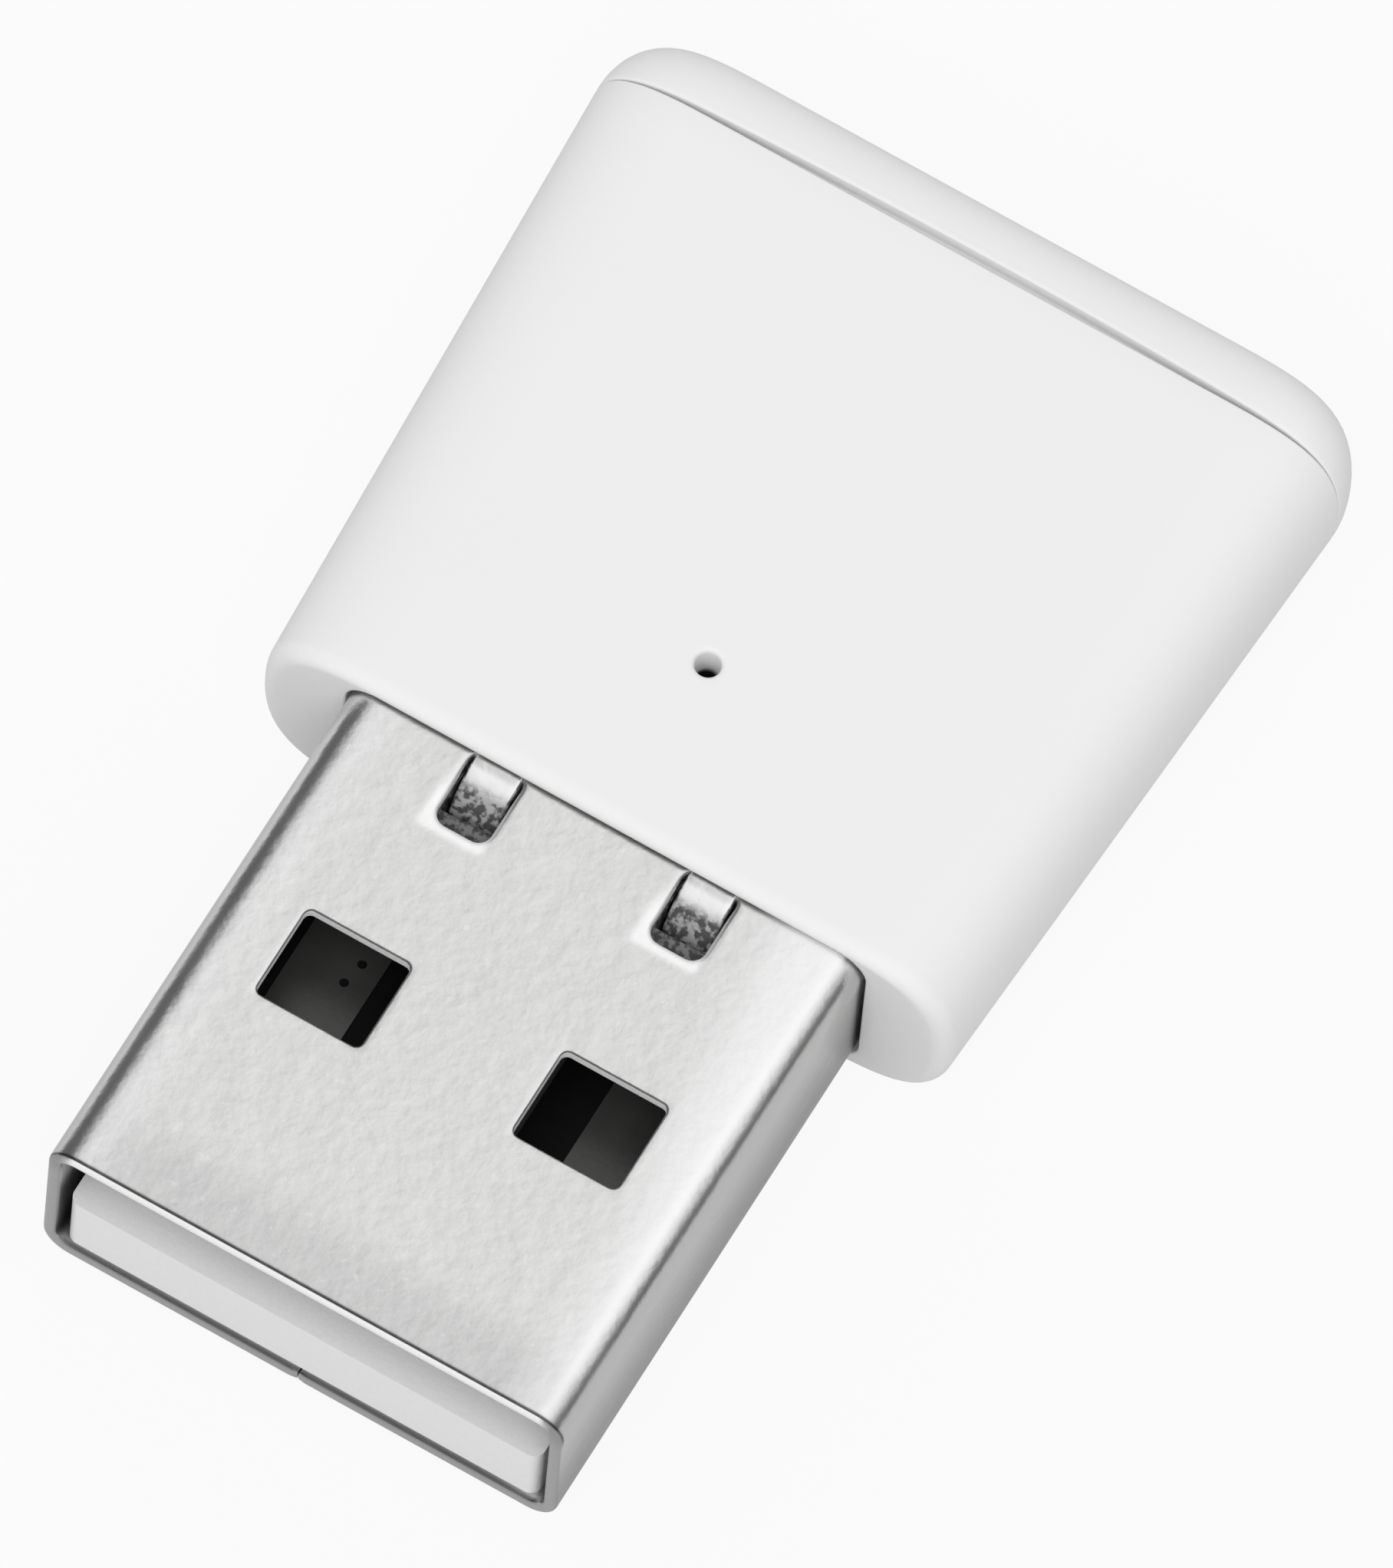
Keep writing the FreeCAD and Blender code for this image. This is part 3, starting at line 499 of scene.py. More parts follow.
def carrier_moulding():
    """A white moulding with a matt fine grain, dark and mottled at its back end under the tabs."""
    material = bpy.data.materials.new("carrier_moulding")
    bench = Bench(material)
    grain = bench.noise(9, 3)
    back = bench.places()[1]
    white = bench.mix(grain, grey(0.84), grey(0.9))
    dark = bench.mix(bench.mottle(), grey(0.03), grey(0.16))
    bench.surface(Base_Color=bench.mix(bench.step(back, *CARRIER_DARK_START), white, dark),
                  Roughness=0.35 + 0.15 * grain, Normal=bench.bump(grain, 0.006))
    return material


def solder_mask():
    """The board's black mask, with the weave of the cloth just showing through."""
    material = bpy.data.materials.new("solder_mask")
    bench = Bench(material)
    across = bench.noise(2.2, 1, (1, 0.1, 1))
    along = bench.noise(2.2, 1, (0.1, 1, 1))
    weave = 0.5 * across + 0.5 * along
    bench.surface(Base_Color=bench.mix(weave, grey(0.004), grey(0.01)),
                  Roughness=0.5 + 0.14 * weave, Specular_IOR_Level=0.12,
                  Normal=bench.bump(weave, 0.006))
    return material


def plated(name, low, high, rough, metal=1.0):
    """A thin metal finish: two shades in fine clouds."""
    material = bpy.data.materials.new(name)
    bench = Bench(material)
    cloud = bench.noise(1.4, 3)
    grain = bench.noise(12, 2)
    bench.surface(Base_Color=bench.mix(cloud, low, high), Metallic=metal,
                  Roughness=rough + 0.12 * cloud + 0.06 * grain,
                  Normal=bench.bump(0.5 * cloud + 0.5 * grain, 0.004))
    return material


def moulded(name, low, high, rough):
    """A plain moulding or fired body: two shades, with a matt fine grain."""
    material = bpy.data.materials.new(name)
    bench = Bench(material)
    cloud = bench.noise(0.8, 2)
    grain = bench.noise(9, 3)
    bench.surface(Base_Color=bench.mix(0.5 * cloud + 0.5 * grain, low, high),
                  Roughness=rough + 0.15 * grain, Normal=bench.bump(grain, 0.006))
    return material


def bezier(p0, p1, p2, p3, t):
    """A cubic with four poles."""
    s = 1 - t
    return s ** 3 * p0 + 3 * s * s * t * p1 + 3 * s * t * t * p2 + t ** 3 * p3


def round_columns():
    """Where each column of the housing's grids lies on a cross-section.

    A column's X is flat share * half of the flat + side share * width of the side, and its
    Z is height share * half of the height. The quarter of a side is the cubic over the
    poles (0, 1), (fullness, 1), (1, fullness), (1, 0). The second half is the first, turned
    half way round.
    """
    across = np.linspace(-1, 1, TOP_STEPS + 1)[:-1]
    t = np.linspace(0, 1, SIDE_STEPS + 1)
    out = bezier(0, SIDE_FULLNESS, 1, 1, t)
    up = bezier(1, 1, SIDE_FULLNESS, 0, t)
    flat = np.concatenate([across, np.ones(2 * SIDE_STEPS)])
    side = np.concatenate([0 * across, out[:-1], out[:0:-1]])
    height = np.concatenate([0 * across + 1, up[:-1], -up[:0:-1]])
    return np.concatenate([flat, -flat]), np.concatenate([side, -side]), \
        np.concatenate([height, -height])


FLAT_SHARE, SIDE_SHARE, HEIGHT_SHARE = round_columns()
COLUMNS = len(FLAT_SHARE)


def half_width_at(y):
    """Half of the housing's width, which grows evenly towards its far end."""
    return (BODY_WIDTH_FRONT + (BODY_WIDTH_BACK - BODY_WIDTH_FRONT) * y / BODY_LENGTH) / 2


def section_rows(y, half_width, half_height):
    """Rows of the housing's section, one for each value along its length.

    The width of a side keeps its proportion to the section's height.
    """
    y, half_width, half_height = [np.reshape(v, (-1, 1)) for v in
                                  np.broadcast_arrays(y, half_width, half_height)]
    side = SIDE_ROUND * half_height / HALF_HEIGHT
    x = FLAT_SHARE * (half_width - side) + SIDE_SHARE * side
    z = HEIGHT_SHARE * half_height
    return np.stack([x, np.broadcast_to(y, x.shape), z], -1)


def slot_rows(y, grow):
    """Rows of the plug's rounded slot, on the same columns as the housing's section.

    grow widens it all round. The quarter of a side is the corner's arc on the first half of
    its steps, and the upright below it on the second half.
    """
    y, grow = [np.reshape(v, (-1, 1)) for v in np.broadcast_arrays(y, grow)]
    corner = BEND_RADIUS + SLOT_GAP
    reach_z = WALL_HEIGHT / 2
    t = np.linspace(0, 1, SIDE_STEPS + 1)
    turn = np.minimum(2 * t, 1) * math.pi / 2
    drop = np.maximum(2 * t - 1, 0)
    out = np.sin(turn)
    up = np.cos(turn)
    level = reach_z * (1 - drop)
    flats = np.zeros(TOP_STEPS)
    lean_x = np.concatenate([flats, out[:-1], out[:0:-1]])
    lean_z = np.concatenate([flats + 1, up[:-1], -up[:0:-1]])
    base_z = np.concatenate([flats + reach_z, level[:-1], -level[:0:-1]])
    lean_x, lean_z, base_z = [np.concatenate([v, -v]) for v in (lean_x, lean_z, base_z)]
    x = FLAT_SHARE * FLAT_HALF_WIDTH + lean_x * (corner + grow)
    z = base_z + lean_z * (corner + grow)
    return np.stack([x, np.broadcast_to(y, x.shape), z], -1)


def between(first, last, steps):
    """Rows on straight lines from one row to another, without the first and the last."""
    share = np.linspace(0, 1, steps + 1)[1:-1, None, None]
    return first + (last - first) * share


def numbered(rows, columns, start=0):
    """The numbers of a grid's points, counted along its rows."""
    return start + np.arange(rows * columns).reshape(rows, columns)


def quads_over(index):
    """Quads between neighbouring rows and columns of an array of point numbers."""
    return np.stack([index[:-1, :-1], index[:-1, 1:], index[1:, 1:], index[1:, :-1]], -1)


def border(index, r0, r1, c0, c1):
    """The point numbers round a block of a grid, in order."""
    return np.concatenate([index[r0, c0:c1], index[r0:r1, c1],
                           index[r1, c1:c0:-1], index[r1:r0:-1, c0]])


def closed(index):
    """Rows of point numbers with the first column again at their end."""
    return np.hstack([index, index[:, :1]])


def listed(quads):
    """The quads of a grid as one list, without those that are marked -1."""
    quads = quads.reshape(-1, 4)
    return quads[quads[:, 0] >= 0]


def ringed(start, rings, first, last):
    """Quads from a loop of points through rings of new points, and on to a last loop."""
    index = numbered(len(rings), len(first), start)
    return listed(quads_over(closed(np.vstack([first, index, last]))))


def rounded_hole(points, centre, half, corner):
    """The nearest places on a rounded rectangle: out from its core by the corner's radius."""
    away = points - centre
    core = np.clip(away, corner - half, half - corner)
    out = away - core
    return centre + core + corner * out / np.linalg.norm(out, axis=1, keepdims=True)


def skin(name, points, quads, node, material):
    """A piece from points about the plug's root, with its doubles merged and its faces out.

    Only the points that a quad uses are taken.
    """
    used, quads = np.unique(quads, return_inverse=True)
    mesh = bpy.data.meshes.new(name)
    mesh.from_pydata((points[used] * MM + ROOT).tolist(), [], quads.reshape(-1, 4).tolist())
    work = bmesh.new()
    work.from_mesh(mesh)
    bmesh.ops.remove_doubles(work, verts=work.verts, dist=MERGED_WITHIN * MM)
    bmesh.ops.recalc_face_normals(work, faces=work.faces)
    work.to_mesh(mesh)
    work.free()
    mesh.shade_smooth()
    mesh.set_sharp_from_angle(angle=SHARP)
    mesh.materials.append(material)
    made = bpy.data.objects.new(name, mesh)
    bpy.context.scene.collection.objects.link(made)
    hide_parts(node)
    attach(made, "root")
    return made


def sleeve_rows():
    """The housing's profile, carried round its columns, as rows of its section.

    It runs out of the slot, over the front face, round the soft front edge along a quarter
    turn, along the tapered sides, over the rear edge, and back through the hollow.
    """
    turn = np.linspace(0, math.pi / 2, TURN_STEPS + 1)
    small = EDGE_ANGLES[1:]
    slot = slot_rows([FRONT_WALL, EDGE], 0)
    slot_edge = slot_rows(EDGE * (1 - np.sin(small)), EDGE * (1 - np.cos(small)))
    pull = 1 - np.sin(turn)
    front_y = FRONT_DEPTH * (1 - np.cos(turn))
    front = section_rows(front_y, half_width_at(front_y) - FRONT_CORNER * pull,
                         HALF_HEIGHT - FRONT_DROP * pull)
    face = between(slot_edge[-1], front[0], FACE_STEPS)
    near, far = HOLE_Y - HOLE_SPAN, HOLE_Y + HOLE_SPAN
    places = np.concatenate([np.linspace(FRONT_DEPTH, near, FRONT_STEPS + 1)[1:],
                             np.linspace(near, far, HOLE_STEPS + 1)[1:],
                             np.linspace(far, SLEEVE_END - EDGE, REAR_STEPS + 1)[1:]])
    sides = section_rows(places, half_width_at(places), HALF_HEIGHT)
    inset = EDGE * (1 - np.cos(small))
    rear_edge = section_rows(SLEEVE_END - EDGE + EDGE * np.sin(small),
                             half_width_at(SLEEVE_END) - inset, HALF_HEIGHT - inset)
    inner = places[places > FRONT_WALL][::-1]
    inner = np.concatenate([[SLEEVE_END], inner, [FRONT_WALL]])
    hollow = section_rows(inner, half_width_at(inner) - SIDE_WALL, HALF_HEIGHT - WALL)
    back_of_front = between(hollow[-1], slot[0], BACK_STEPS)
    return np.concatenate([slot, slot_edge, face, front, sides,
                           rear_edge, hollow, back_of_front])


def hole_rings(flat):
    """Rings from a loop on the top into the indicator hole, and down through its light well.

    The hole's edge is a quarter turn, and its side tapers to the well's floor. The last ring
    lies in the ceiling of the hollow.
    """
    middle = np.array([0, HOLE_Y])

    def ring(radius, z, share=1.0):
        place = rounded_hole(flat, middle, radius, radius)
        place = flat + (place - flat) * share
        return np.column_stack([place, np.full(len(place), z)])

    rim = HOLE_RADIUS + HOLE_EDGE
    small = EDGE_ANGLES[1:]
    rings = [ring(rim, HALF_HEIGHT, share) for share in HOLE_RING_SHARES]
    rings += [ring(rim - HOLE_EDGE * math.sin(a), HALF_HEIGHT - HOLE_EDGE * (1 - math.cos(a)))
              for a in small]
    rings += [ring(HOLE_RADIUS - HOLE_EASE, HALF_HEIGHT - 2 * HOLE_EDGE),
              ring(HOLE_END_RADIUS + HOLE_EASE, WELL_END + HOLE_EDGE),
              ring(HOLE_END_RADIUS, WELL_END),
              ring(WELL_RADIUS, WELL_END),
              ring(WELL_RADIUS, HALF_HEIGHT - WALL)]
    return np.stack(rings)


def sleeve_skin(material):
    """The housing as one closed skin, with its indicator hole.

    A block of the top and the block of the hollow's ceiling below it are opened, and the
    hole's rings join the two.
    """
    rows = sleeve_rows()
    points = rows.reshape(-1, 3)
    index = numbered(len(rows), COLUMNS)
    quads = quads_over(closed(np.vstack([index, index[:1]])))
    tops = rows[:, TOP_STEPS // 2]
    at_ends = np.isclose(np.abs(tops[:, 1] - HOLE_Y), HOLE_SPAN)
    outer = np.flatnonzero(at_ends & np.isclose(tops[:, 2], HALF_HEIGHT))
    inside = np.flatnonzero(at_ends & np.isclose(tops[:, 2], HALF_HEIGHT - WALL))
    c0, c1 = (TOP_STEPS - HOLE_STEPS) // 2, (TOP_STEPS + HOLE_STEPS) // 2
    for r0, r1 in (outer, inside):
        quads[r0:r1, c0:c1] = -1
    first = border(index, outer[0], outer[1], c0, c1)
    near, far = len(rows) - 1 - inside[::-1]
    last = border(index[::-1], near, far, c0, c1)
    rings = hole_rings(points[first][:, :2])
    quads = np.vstack([listed(quads), ringed(len(points), rings, first, last)])
    points = np.vstack([points, rings.reshape(-1, 3)])
    return skin("housing_sleeve_skin", points, quads, "housing_sleeve", material)


def cap_rows():
    """The end cap's rows, from the middle of its hollow to the middle of its end.

    Outside it draws in along a quarter turn: the reach is the sine and the pull is one minus
    the cosine. Its front edge bows away from the sleeve as 1 - (x / half width) squared, and
    a land below it closes the groove.
    """
    half = half_width_at(SLEEVE_END)

    def relief(x):
        return SLEEVE_END + CAP_GAP * np.clip(1 - (x / half) ** 2, 0, 1)

    front = SLEEVE_END - SPIGOT_LENGTH
    rear = SLEEVE_END + CAP_DEPTH - CAP_WALL
    spigot_drop = WALL + FIT
    core = section_rows([rear, front], half_width_at(np.array([rear, front])) - SIDE_WALL - FIT
                        - SPIGOT_WALL, HALF_HEIGHT - spigot_drop - SPIGOT_WALL)
    face = SLEEVE_END + LAND_GAP
    spigot = section_rows([front, face], half_width_at(np.array([front, face]))
                          - SIDE_WALL - FIT, HALF_HEIGHT - spigot_drop)
    land = section_rows([face, face], half_width_at(face) - GROOVE_DEPTH,
                        HALF_HEIGHT - GROOVE_DEPTH)
    land[1, :, 1] = relief(land[1, :, 0]) + LAND_GAP
    inset = EDGE * (1 - np.sin(EDGE_ANGLES))
    rim = section_rows(SLEEVE_END, half - inset, HALF_HEIGHT - inset)
    rim[:, :, 1] = relief(rim[:, :, 0]) + EDGE * (1 - np.cos(EDGE_ANGLES))[:, None]
    start = np.arcsin((rim[-1, :, 1] - SLEEVE_END) / CAP_DEPTH)
    share = np.linspace(0, 1, 2 * TURN_STEPS + 1)[1:, None]
    turn = start + (math.pi / 2 - start) * share
    pull = 1 - np.cos(turn)
    height = HALF_HEIGHT - (HALF_HEIGHT - CAP_END_HALF_HEIGHT) * pull
    side = SIDE_ROUND * height / HALF_HEIGHT
    place = SLEEVE_END + CAP_DEPTH * np.sin(turn)
    x = FLAT_SHARE * (half_width_at(place) - CAP_CORNER * pull - side) + SIDE_SHARE * side
    outside = np.stack([x, place, HEIGHT_SHARE * height], -1)
    rows = [core[:1] * (share, 1, share) for share in CORE_SHARES]
    rows += [core, spigot, land, rim, outside]
    rows += [outside[-1:] * (share, 1, share) for share in END_SHARES]
    return np.concatenate(rows)


def cap_skin(material):
    """The rounded end as one closed skin."""
    rows = cap_rows()
    index = numbered(len(rows), COLUMNS)
    quads = listed(quads_over(closed(index)))
    return skin("end_cap_skin", rows.reshape(-1, 3), quads, "end_cap", material)


def folded(along, y, inset):
    """The flat sheet folded up: a distance round the shell, from the middle of its underside.

    y is the place along the shell, and inset is the depth under its outer skin. Panels run
    straight on their heading, and a bend turns the heading evenly by a quarter.
    """
    half, wall, bend = FLAT_HALF_WIDTH, WALL_HEIGHT, BEND_LENGTH
    lengths = np.array([half, bend, wall, bend, 2 * half, bend, wall, bend, half])
    count = len(lengths)
    knots = np.concatenate([[0], np.cumsum(lengths)])
    is_bend = np.arange(count) % 2 == 1
    heading = np.arange(count) // 2 * math.pi / 2
    step = np.where(is_bend[:, None],
                    BEND_RADIUS * np.stack([np.cos(heading) - np.sin(heading),
                                            np.cos(heading) + np.sin(heading)], -1),
                    lengths[:, None] * np.stack([np.cos(heading), np.sin(heading)], -1))
    begin = np.vstack([[0, 0], np.cumsum(step, 0)[:-1]]) + (0, -PLUG_HALF_HEIGHT)
    k = np.clip(np.searchsorted(knots, along, "right") - 1, 0, count - 1)
    local = along - knots[k]
    now = heading[k] + np.where(is_bend[k], local / BEND_RADIUS, 0)
    curve = BEND_RADIUS * np.stack([np.sin(now) - np.sin(heading[k]),
                                    np.cos(heading[k]) - np.cos(now)], -1)
    line = local[..., None] * np.stack([np.cos(now), np.sin(now)], -1)
    place = begin[k] + np.where(is_bend[k][..., None], curve, line)
    outward = np.stack([np.sin(now), -np.cos(now)], -1)
    place = place - outward * inset[..., None]
    return np.stack([place[..., 0], y, place[..., 1]], -1)


def grid(across, along):
    """Flat places on a grid: across in the columns, along in the rows."""
    return np.stack(np.meshgrid(across, along), -1)


def block_for(across, along, centre, half):
    """The rows and columns of a grid's block that leaves room for an opening."""
    reach = half + OPENING_MARGIN
    return (np.searchsorted(along, centre[1] - reach[1]) - 1,
            np.searchsorted(along, centre[1] + reach[1]),
            np.searchsorted(across, centre[0] - reach[0]) - 1,
            np.searchsorted(across, centre[0] + reach[0]))


def edge_rings(loop, rim, edge):
    """The flat places and the depths of the rings round an edge, from outer skin to inner.

    They run round a quarter turn into the cut face and round another out of it: the reach is
    its sine, and the depth is one minus its cosine. An opening's rings turn in to its rim,
    with one more halfway from the grid's loop before and after them. The sheet's own edge has
    no rim, and its rings turn out from the loop.
    """
    sine = np.sin(EDGE_ANGLES)
    reach = np.concatenate([sine, [1, 1], sine[::-1]])[:, None, None]
    drop = (1 - np.cos(EDGE_ANGLES))[:, None]
    shape = loop if rim is None else rim
    ahead = np.roll(shape, -1, 0) - np.roll(shape, 1, 0)
    away = np.stack([-ahead[:, 1], ahead[:, 0]], -1)
    away = away / np.linalg.norm(away, axis=1, keepdims=True) * edge
    width = np.linalg.norm(away, axis=1)
    middle = np.stack([width + CUT_FLAT, SHEET - width - CUT_FLAT])
    deep = np.concatenate([width * drop, middle, SHEET - width * drop[::-1]])
    if rim is None:
        return (shape + away * reach)[1:-1], deep[1:-1]
    rings = rim - away * (1 - reach)
    halfway = (loop + rings[:1]) / 2
    top, bottom = np.zeros((1, len(loop))), np.full((1, len(loop)), SHEET)
    return np.concatenate([halfway, rings, halfway]), np.concatenate([top, deep, bottom])


def cut_sheet(flat, openings, edges, place):
    """The points and quads of a sheet, from a grid in the flat.

    place gives the points for flat places and their depths under the outer skin. A block of
    the grid is opened for each rounded opening: its centre, half sizes, corner and edge. The
    sheet's own edges are rounded by one width on the sides and another on the ends.
    """
    index = numbered(*flat.shape[:2])
    quads = quads_over(index)
    across, along = flat[0, :, 0], flat[:, 0, 1]
    flat = flat.reshape(-1, 2)
    count = len(flat)
    loops = [(border(index, 0, len(along) - 1, 0, len(across) - 1)[::-1], None, edges)]
    for centre, half, corner, edge in openings:
        r0, r1, c0, c1 = block_for(across, along, centre, half)
        quads[r0:r1, c0:c1] = -1
        loop = border(index, r0, r1, c0, c1)
        loops.append((loop, rounded_hole(flat[loop], centre, half, corner), edge))
    quads = listed(quads)
    quads = [quads, quads[:, ::-1] + count]
    places = [flat, flat]
    depths = [np.zeros(count), np.full(count, SHEET)]
    start = 2 * count
    for loop, rim, edge in loops:
        rings, deep = edge_rings(flat[loop], rim, edge)
        quads.append(ringed(start, rings, loop, loop + count))
        places.append(rings.reshape(-1, 2))
        depths.append(deep.reshape(-1))
        start += deep.size
    return place(np.vstack(places), np.concatenate(depths)), np.vstack(quads)


def sheet_columns(total):
    """Places across the flat sheet, from one edge of its seam to the other."""
    panel, wall, bend = FLAT_HALF_WIDTH, WALL_HEIGHT, BEND_LENGTH
    steps = round(panel / SHELL_STEP)
    share = np.arange(BEND_STEPS) / BEND_STEPS
    half_sheet = np.concatenate([
        np.linspace(SEAM_GAP / 2 + SEAM_EDGE, panel, steps + 1)[:-1],
        panel + bend * share,
        panel + bend + wall * share,
        panel + bend + wall + bend * share,
        total / 2 - panel + panel * np.linspace(0, 1, steps + 1)])
    return np.concatenate([half_sheet, total - half_sheet[-2::-1]])


def sheet_rows(key_near, key_far):
    """Places along the sheet, with two close together at each end of the seam's key."""
    near, far = MOUTH_EDGE - PLUG_OUT, PLUG_INSIDE - MOUTH_EDGE
    along = np.linspace(near, far, round((far - near) / SHELL_STEP) + 1)
    for edge in (key_near, key_far):
        nearest = np.abs(along - edge).argmin()
        along[nearest] = edge - SEAM_STEP
        along = np.insert(along, nearest + 1, edge + SEAM_STEP)
    return along


def shell_sheet():
    """The shell's sheet, folded round, with its windows and the openings of its tabs.

    The seam's edges follow its square key: near the seam, the rows of the key's length are
    moved across, and the rows at its two ends are moved a little apart along the shell. Both
    moves fade evenly with the distance from the seam.
    """
    middle = 2 * (FLAT_HALF_WIDTH + BEND_LENGTH) + WALL_HEIGHT
    total = 2 * middle
    key_near = SEAM_KEY_SETBACK - PLUG_OUT
    key_far = key_near + SEAM_KEY_LENGTH
    tab_half = np.array([TAB_HALF_WIDTH + TAB_GAP, (TAB_LENGTH + TAB_GAP) / 2])
    openings = [((u, WINDOW_Y), np.array(WINDOW_HALF), WINDOW_CORNER, OPENING_EDGE)
                for u in (middle - WINDOW_X, middle + WINDOW_X, WINDOW_X, total - WINDOW_X)]
    openings += [((middle + side * TAB_X, TAB_HINGE - tab_half[1]), tab_half, TAB_CORNER,
                  TAB_OPENING_EDGE) for side in (-1, 1)]

    def place(flat, depth):
        u, y = flat.T
        near_seam = np.clip(1 - np.minimum(u, total - u) / SEAM_FADE, 0, 1)
        from_middle = y - (key_near + key_far) / 2
        past_end = np.abs(from_middle) - SEAM_KEY_LENGTH / 2
        apart = np.where(u > middle, -1, 1) * np.sign(from_middle) * SEAM_KEY_GAP / 2
        y = y + apart * near_seam * (np.abs(past_end) < 2 * SEAM_STEP)
        points = folded(u, y, depth)
        points[:, 0] += SEAM_KEY_REACH * near_seam * (past_end < 0)
        return points

    flat = grid(sheet_columns(total), sheet_rows(key_near, key_far))
    return cut_sheet(flat, openings, (SEAM_EDGE, MOUTH_EDGE), place)


def curled_tab(x):
    """A tab cut from the sheet and curled down round its own arc, with a rounded end.

    The angle on the arc is the length along the tab over the arc's radius. The tab goes out
    by the radius times the angle's sine, and down by the radius times one minus its cosine.
    Its end narrows by a quarter turn.
    """
    end = TAB_LENGTH - TAB_CORNER
    round_off = TAB_CORNER - OPENING_EDGE
    turn = np.linspace(0, math.pi / 2, TURN_STEPS)
    reach = np.concatenate([np.linspace(0, end, TURN_STEPS)[:-1], end + round_off * np.sin(turn)])
    half = TAB_HALF_WIDTH - TAB_CORNER + round_off * np.concatenate(
        [np.ones(TURN_STEPS - 1), np.cos(turn)])
    flat = grid(np.linspace(-1, 1, TAB_STEPS + 1), reach)
    flat[..., 0] *= half[:, None]

    def place(flat, depth):
        angle = flat[:, 1] / TAB_CURVE
        radius = TAB_CURVE - depth
        return np.stack([x + flat[:, 0], TAB_HINGE - radius * np.sin(angle),
                         PLUG_HALF_HEIGHT - TAB_CURVE + radius * np.cos(angle)], -1)

    return cut_sheet(flat, [], (OPENING_EDGE, OPENING_EDGE), place)


def leg_plate(side, y0, y1, z0, z1):
    """A flat plate of one of the shell's board legs, in the plane of a side wall."""
    e = OPENING_EDGE
    flat = grid(np.linspace(y0 + e, y1 - e, LEG_STEPS + 1),
                np.linspace(z0 + e, z1 - e, LEG_STEPS + 1))
    return cut_sheet(flat, [], (e, e), lambda flat, depth: np.stack(
        [side * (PLUG_HALF_WIDTH - depth), flat[:, 0], flat[:, 1]], -1))


def shell_skin(material):
    """The plug's shell: its folded sheet, its curled tabs, and its board legs with prongs."""
    parts = [shell_sheet()] + [curled_tab(side * TAB_X) for side in (-1, 1)]
    for side in (-1, 1):
        parts.append(leg_plate(side, PLUG_INSIDE, PRONG_REAR, LEG_BOTTOM, LEG_TOP))
        parts.append(leg_plate(side, PRONG_FRONT, PRONG_REAR, PRONG_END, LEG_BOTTOM))
    points, quads = zip(*parts)
    starts = np.cumsum([0] + [len(each) for each in points[:-1]])
    points = np.vstack(points)
    quads = np.vstack([each + start for each, start in zip(quads, starts)])
    return skin("plug_shell_skin", points, quads, "plug_shell", material)


def finishes():
    """The finish of each node that keeps its own mesh."""
    fingers = plated("finger_plate", grey(0.08, 0.02), grey(0.11, 0.02), 0.24, 0.55)
    return {
        **dict.fromkeys(CONTACTS, fingers),
        "board_carrier": carrier_moulding(),
        "main_board": solder_mask(),
        "shield_can": plated("tinned_can", grey(0.62), grey(0.78), 0.26),
        "meander_antenna": plated("gold_trace", tint(0.72, 0.5, 0.2), tint(0.86, 0.64, 0.3), 0.22),
        "shell_solder": plated("bright_solder", grey(0.6, -0.01), grey(0.8, -0.01), 0.16),
        "radio_chip": moulded("radio_moulding", grey(0.02), grey(0.04), 0.45),
        "voltage_regulator": moulded("regulator_moulding", grey(0.025), grey(0.045), 0.5),
        "crystal": moulded("crystal_base", tint(0.55, 0.5, 0.38), tint(0.72, 0.68, 0.56), 0.3),
        "indicator_led": moulded("indicator_lens", tint(0.82, 0.82, 0.7), tint(0.93, 0.93, 0.86),
                                 0.12),
        "chip_capacitors": moulded("capacitor_body", tint(0.42, 0.3, 0.2), tint(0.56, 0.42, 0.3),
                                   0.4),
        "bulk_capacitor": moulded("bulk_body", tint(0.48, 0.37, 0.26), tint(0.62, 0.5, 0.37), 0.4),
        "chip_resistors": moulded("resistor_body", grey(0.03), grey(0.08), 0.3),
        "matching_inductors": moulded("inductor_body", tint(0.24, 0.27, 0.32),
                                      tint(0.38, 0.41, 0.45), 0.4),
        "ferrite_bead": moulded("ferrite_body", grey(0.1), grey(0.17), 0.5),
    }


def dress(node, material):
    """A better finish on a node that keeps its own mesh."""
    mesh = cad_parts[node].data
    mesh.materials.clear()
    mesh.materials.append(material)


def light_rays(bench):
    """Whether a ray comes from the camera, from gloss, or through something clear."""
    return [bench.add("ShaderNodeLightPath", output=name)
            for name in ("Is Camera Ray", "Is Glossy Ray", "Is Transmission Ray")]


def floor():
    """A pale floor, white to the camera, that still takes the object's shadow."""
    mesh = bpy.data.meshes.new("floor")
    corners = ((-1, -1), (1, -1), (1, 1), (-1, 1))
    mesh.from_pydata([(x * FLOOR_HALF, y * FLOOR_HALF, -FLOOR_DROP * MM) for x, y in corners],
                     [], [(0, 1, 2, 3)])
    material = bpy.data.materials.new("pale_floor")
    bench = Bench(material)
    paint = bench.add("ShaderNodeBsdfDiffuse", {}, {"Color": grey(0.66)})
    white = bench.add("ShaderNodeEmission", {}, {"Color": grey(1.0), "Strength": 1.0})
    seen, gloss, clear = light_rays(bench)
    share = FLOOR_WHITE * (seen + FLOOR_IN_GLOSS * gloss + clear).or_less(1)
    surface = bench.add("ShaderNodeMixShader", {}, {0: share, 1: paint, 2: white})
    bench.add("ShaderNodeOutputMaterial", {}, {"Surface": surface})
    mesh.materials.append(material)
    made = bpy.data.objects.new("floor", mesh)
    bpy.context.scene.collection.objects.link(made)


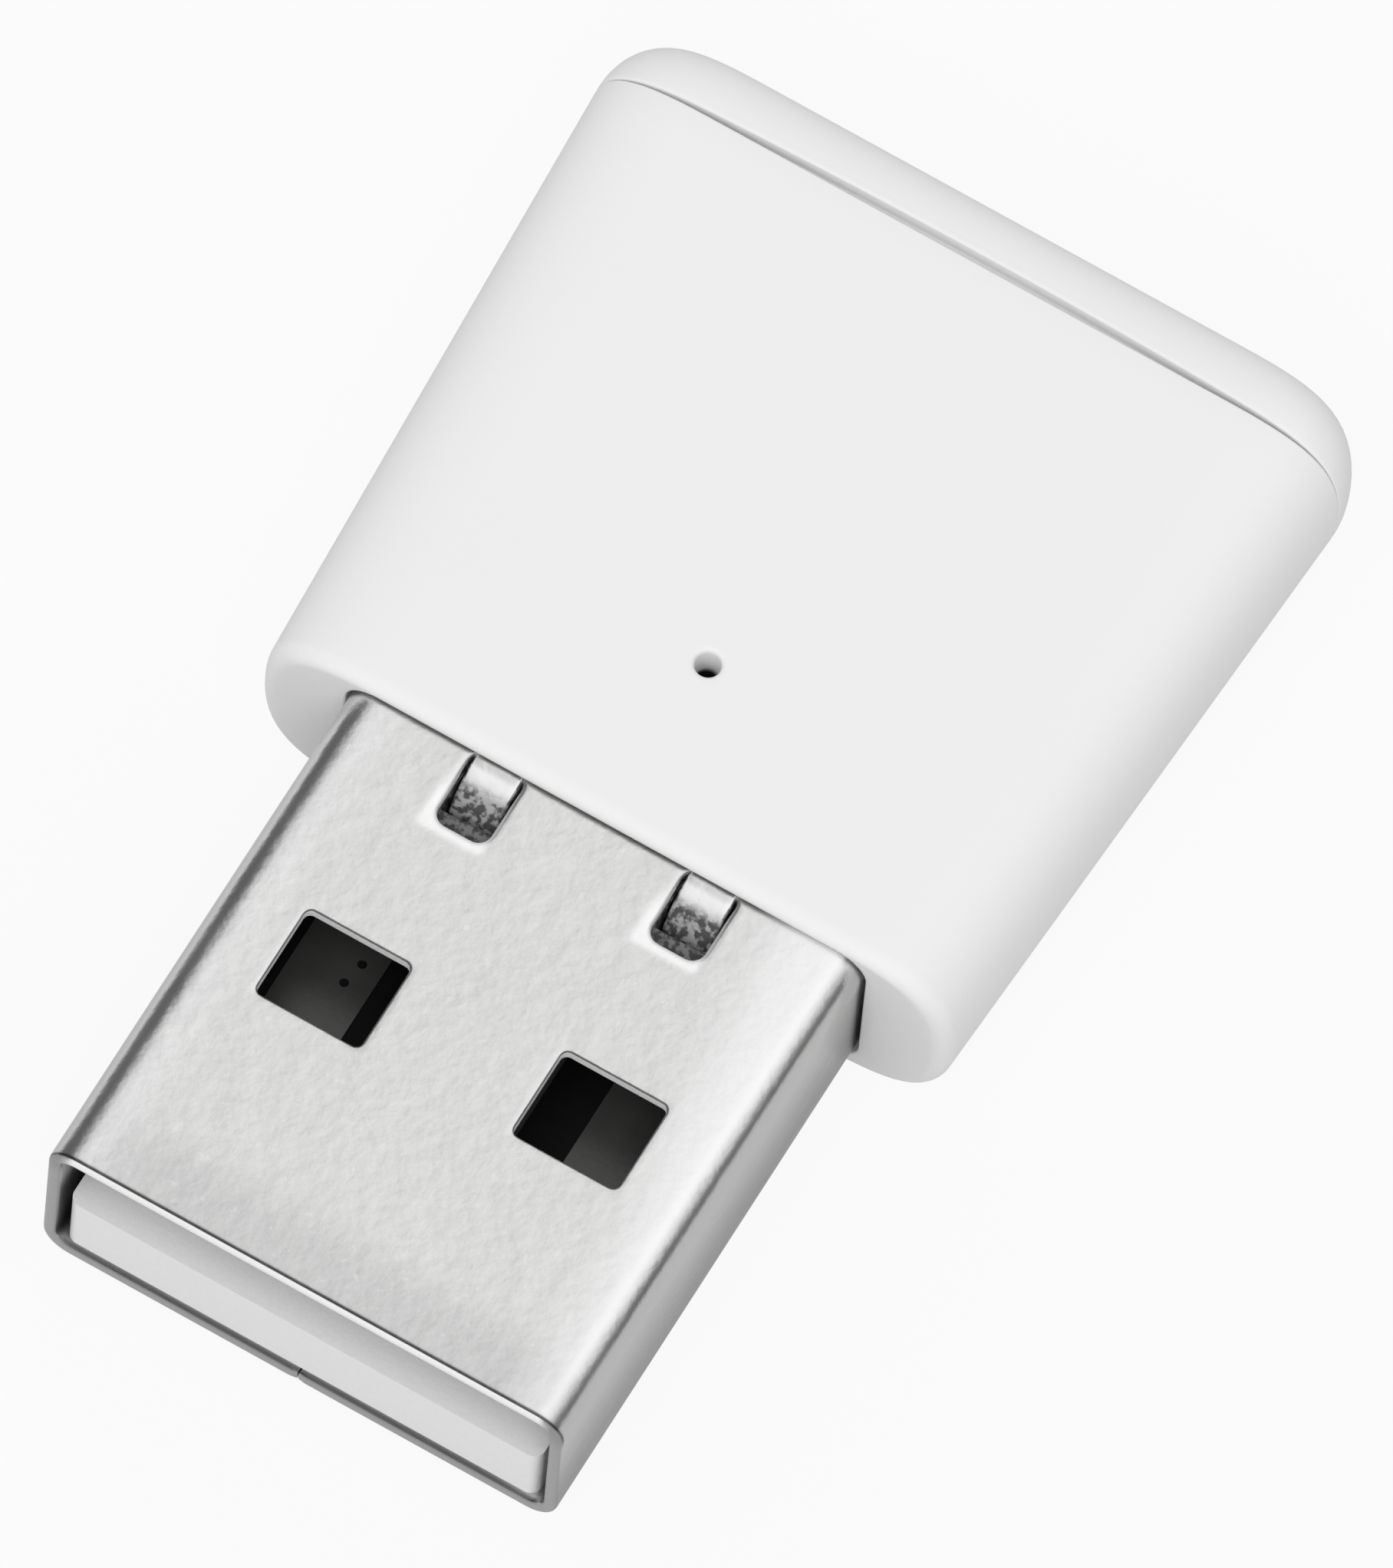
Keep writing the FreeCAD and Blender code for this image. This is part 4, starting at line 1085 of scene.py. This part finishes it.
def studio():
    """A wide soft sky with one soft lamp, and a room that is bright above and dim in front.

    The camera sees the sky as white. Gloss sees it fade towards the level, the front and the
    left, along up + ROOM_BACK * back + ROOM_RIGHT * right.
    """
    scene = bpy.context.scene
    scene.view_settings.view_transform = "Standard"
    world = bpy.data.worlds.new("studio")
    scene.world = world
    bench = Bench(world)
    seen, gloss, clear = light_rays(bench)
    heading = bench.add("ShaderNodeTexCoord", output="Generated")
    rise = bench.apart(heading, "Z") + ROOM_BACK * bench.apart(heading, "Y") \
        + ROOM_RIGHT * bench.apart(heading, "X")
    room = bench.mix(bench.step(rise, *ROOM_RISE), grey(0.1), grey(1.0))
    level = bench.mix(gloss, grey(0.62), room)
    level = bench.mix((seen + clear).or_less(1), level, grey(1.0))
    sky = bench.add("ShaderNodeBackground", {}, {"Color": level, "Strength": 1.0})
    bench.add("ShaderNodeOutputWorld", {}, {"Surface": sky})
    lamp = bpy.data.lights.new("overhead", "SUN")
    lamp.energy = LAMP_STRENGTH
    lamp.angle = LAMP_SPREAD
    made = bpy.data.objects.new("overhead", lamp)
    made.rotation_euler = LAMP_TURN
    made.visible_glossy = False
    scene.collection.objects.link(made)


def camera():
    """The camera of the picture: turned round the plug's root, raised, and rolled."""
    e, a, r = CAMERA_ELEVATION, CAMERA_TURN, CAMERA_ROLL
    ahead = Vector((-math.sin(a) * math.cos(e), math.cos(a) * math.cos(e), -math.sin(e)))
    level = Vector((math.cos(a), math.sin(a), 0))
    down = ahead.cross(level)
    right = math.cos(r) * level + math.sin(r) * down
    below = math.cos(r) * down - math.sin(r) * level
    pixel = MM / PIXELS_PER_MM
    data = bpy.data.cameras.new("camera")
    data.sensor_width = SENSOR
    data.lens = CAMERA_DISTANCE / pixel * SENSOR / PICTURE_HEIGHT
    data.clip_start, data.clip_end = CAMERA_SEES
    made = bpy.data.objects.new("camera", data)
    place = (Vector(ROOT) - right * ROOT_RIGHT_OF_MIDDLE * pixel
             - below * ROOT_BELOW_MIDDLE * pixel - ahead * CAMERA_DISTANCE)
    turn = Matrix((right, -below, -ahead)).transposed()
    made.matrix_world = Matrix.Translation(place) @ turn.to_4x4()
    bpy.context.scene.collection.objects.link(made)
    bpy.context.scene.camera = made


white = satin_moulding("white_moulding")
sleeve_skin(white)
cap_skin(white)
shell_skin(nickel_plate())
for node, finish in finishes().items():
    dress(node, finish)
floor()
studio()
camera()
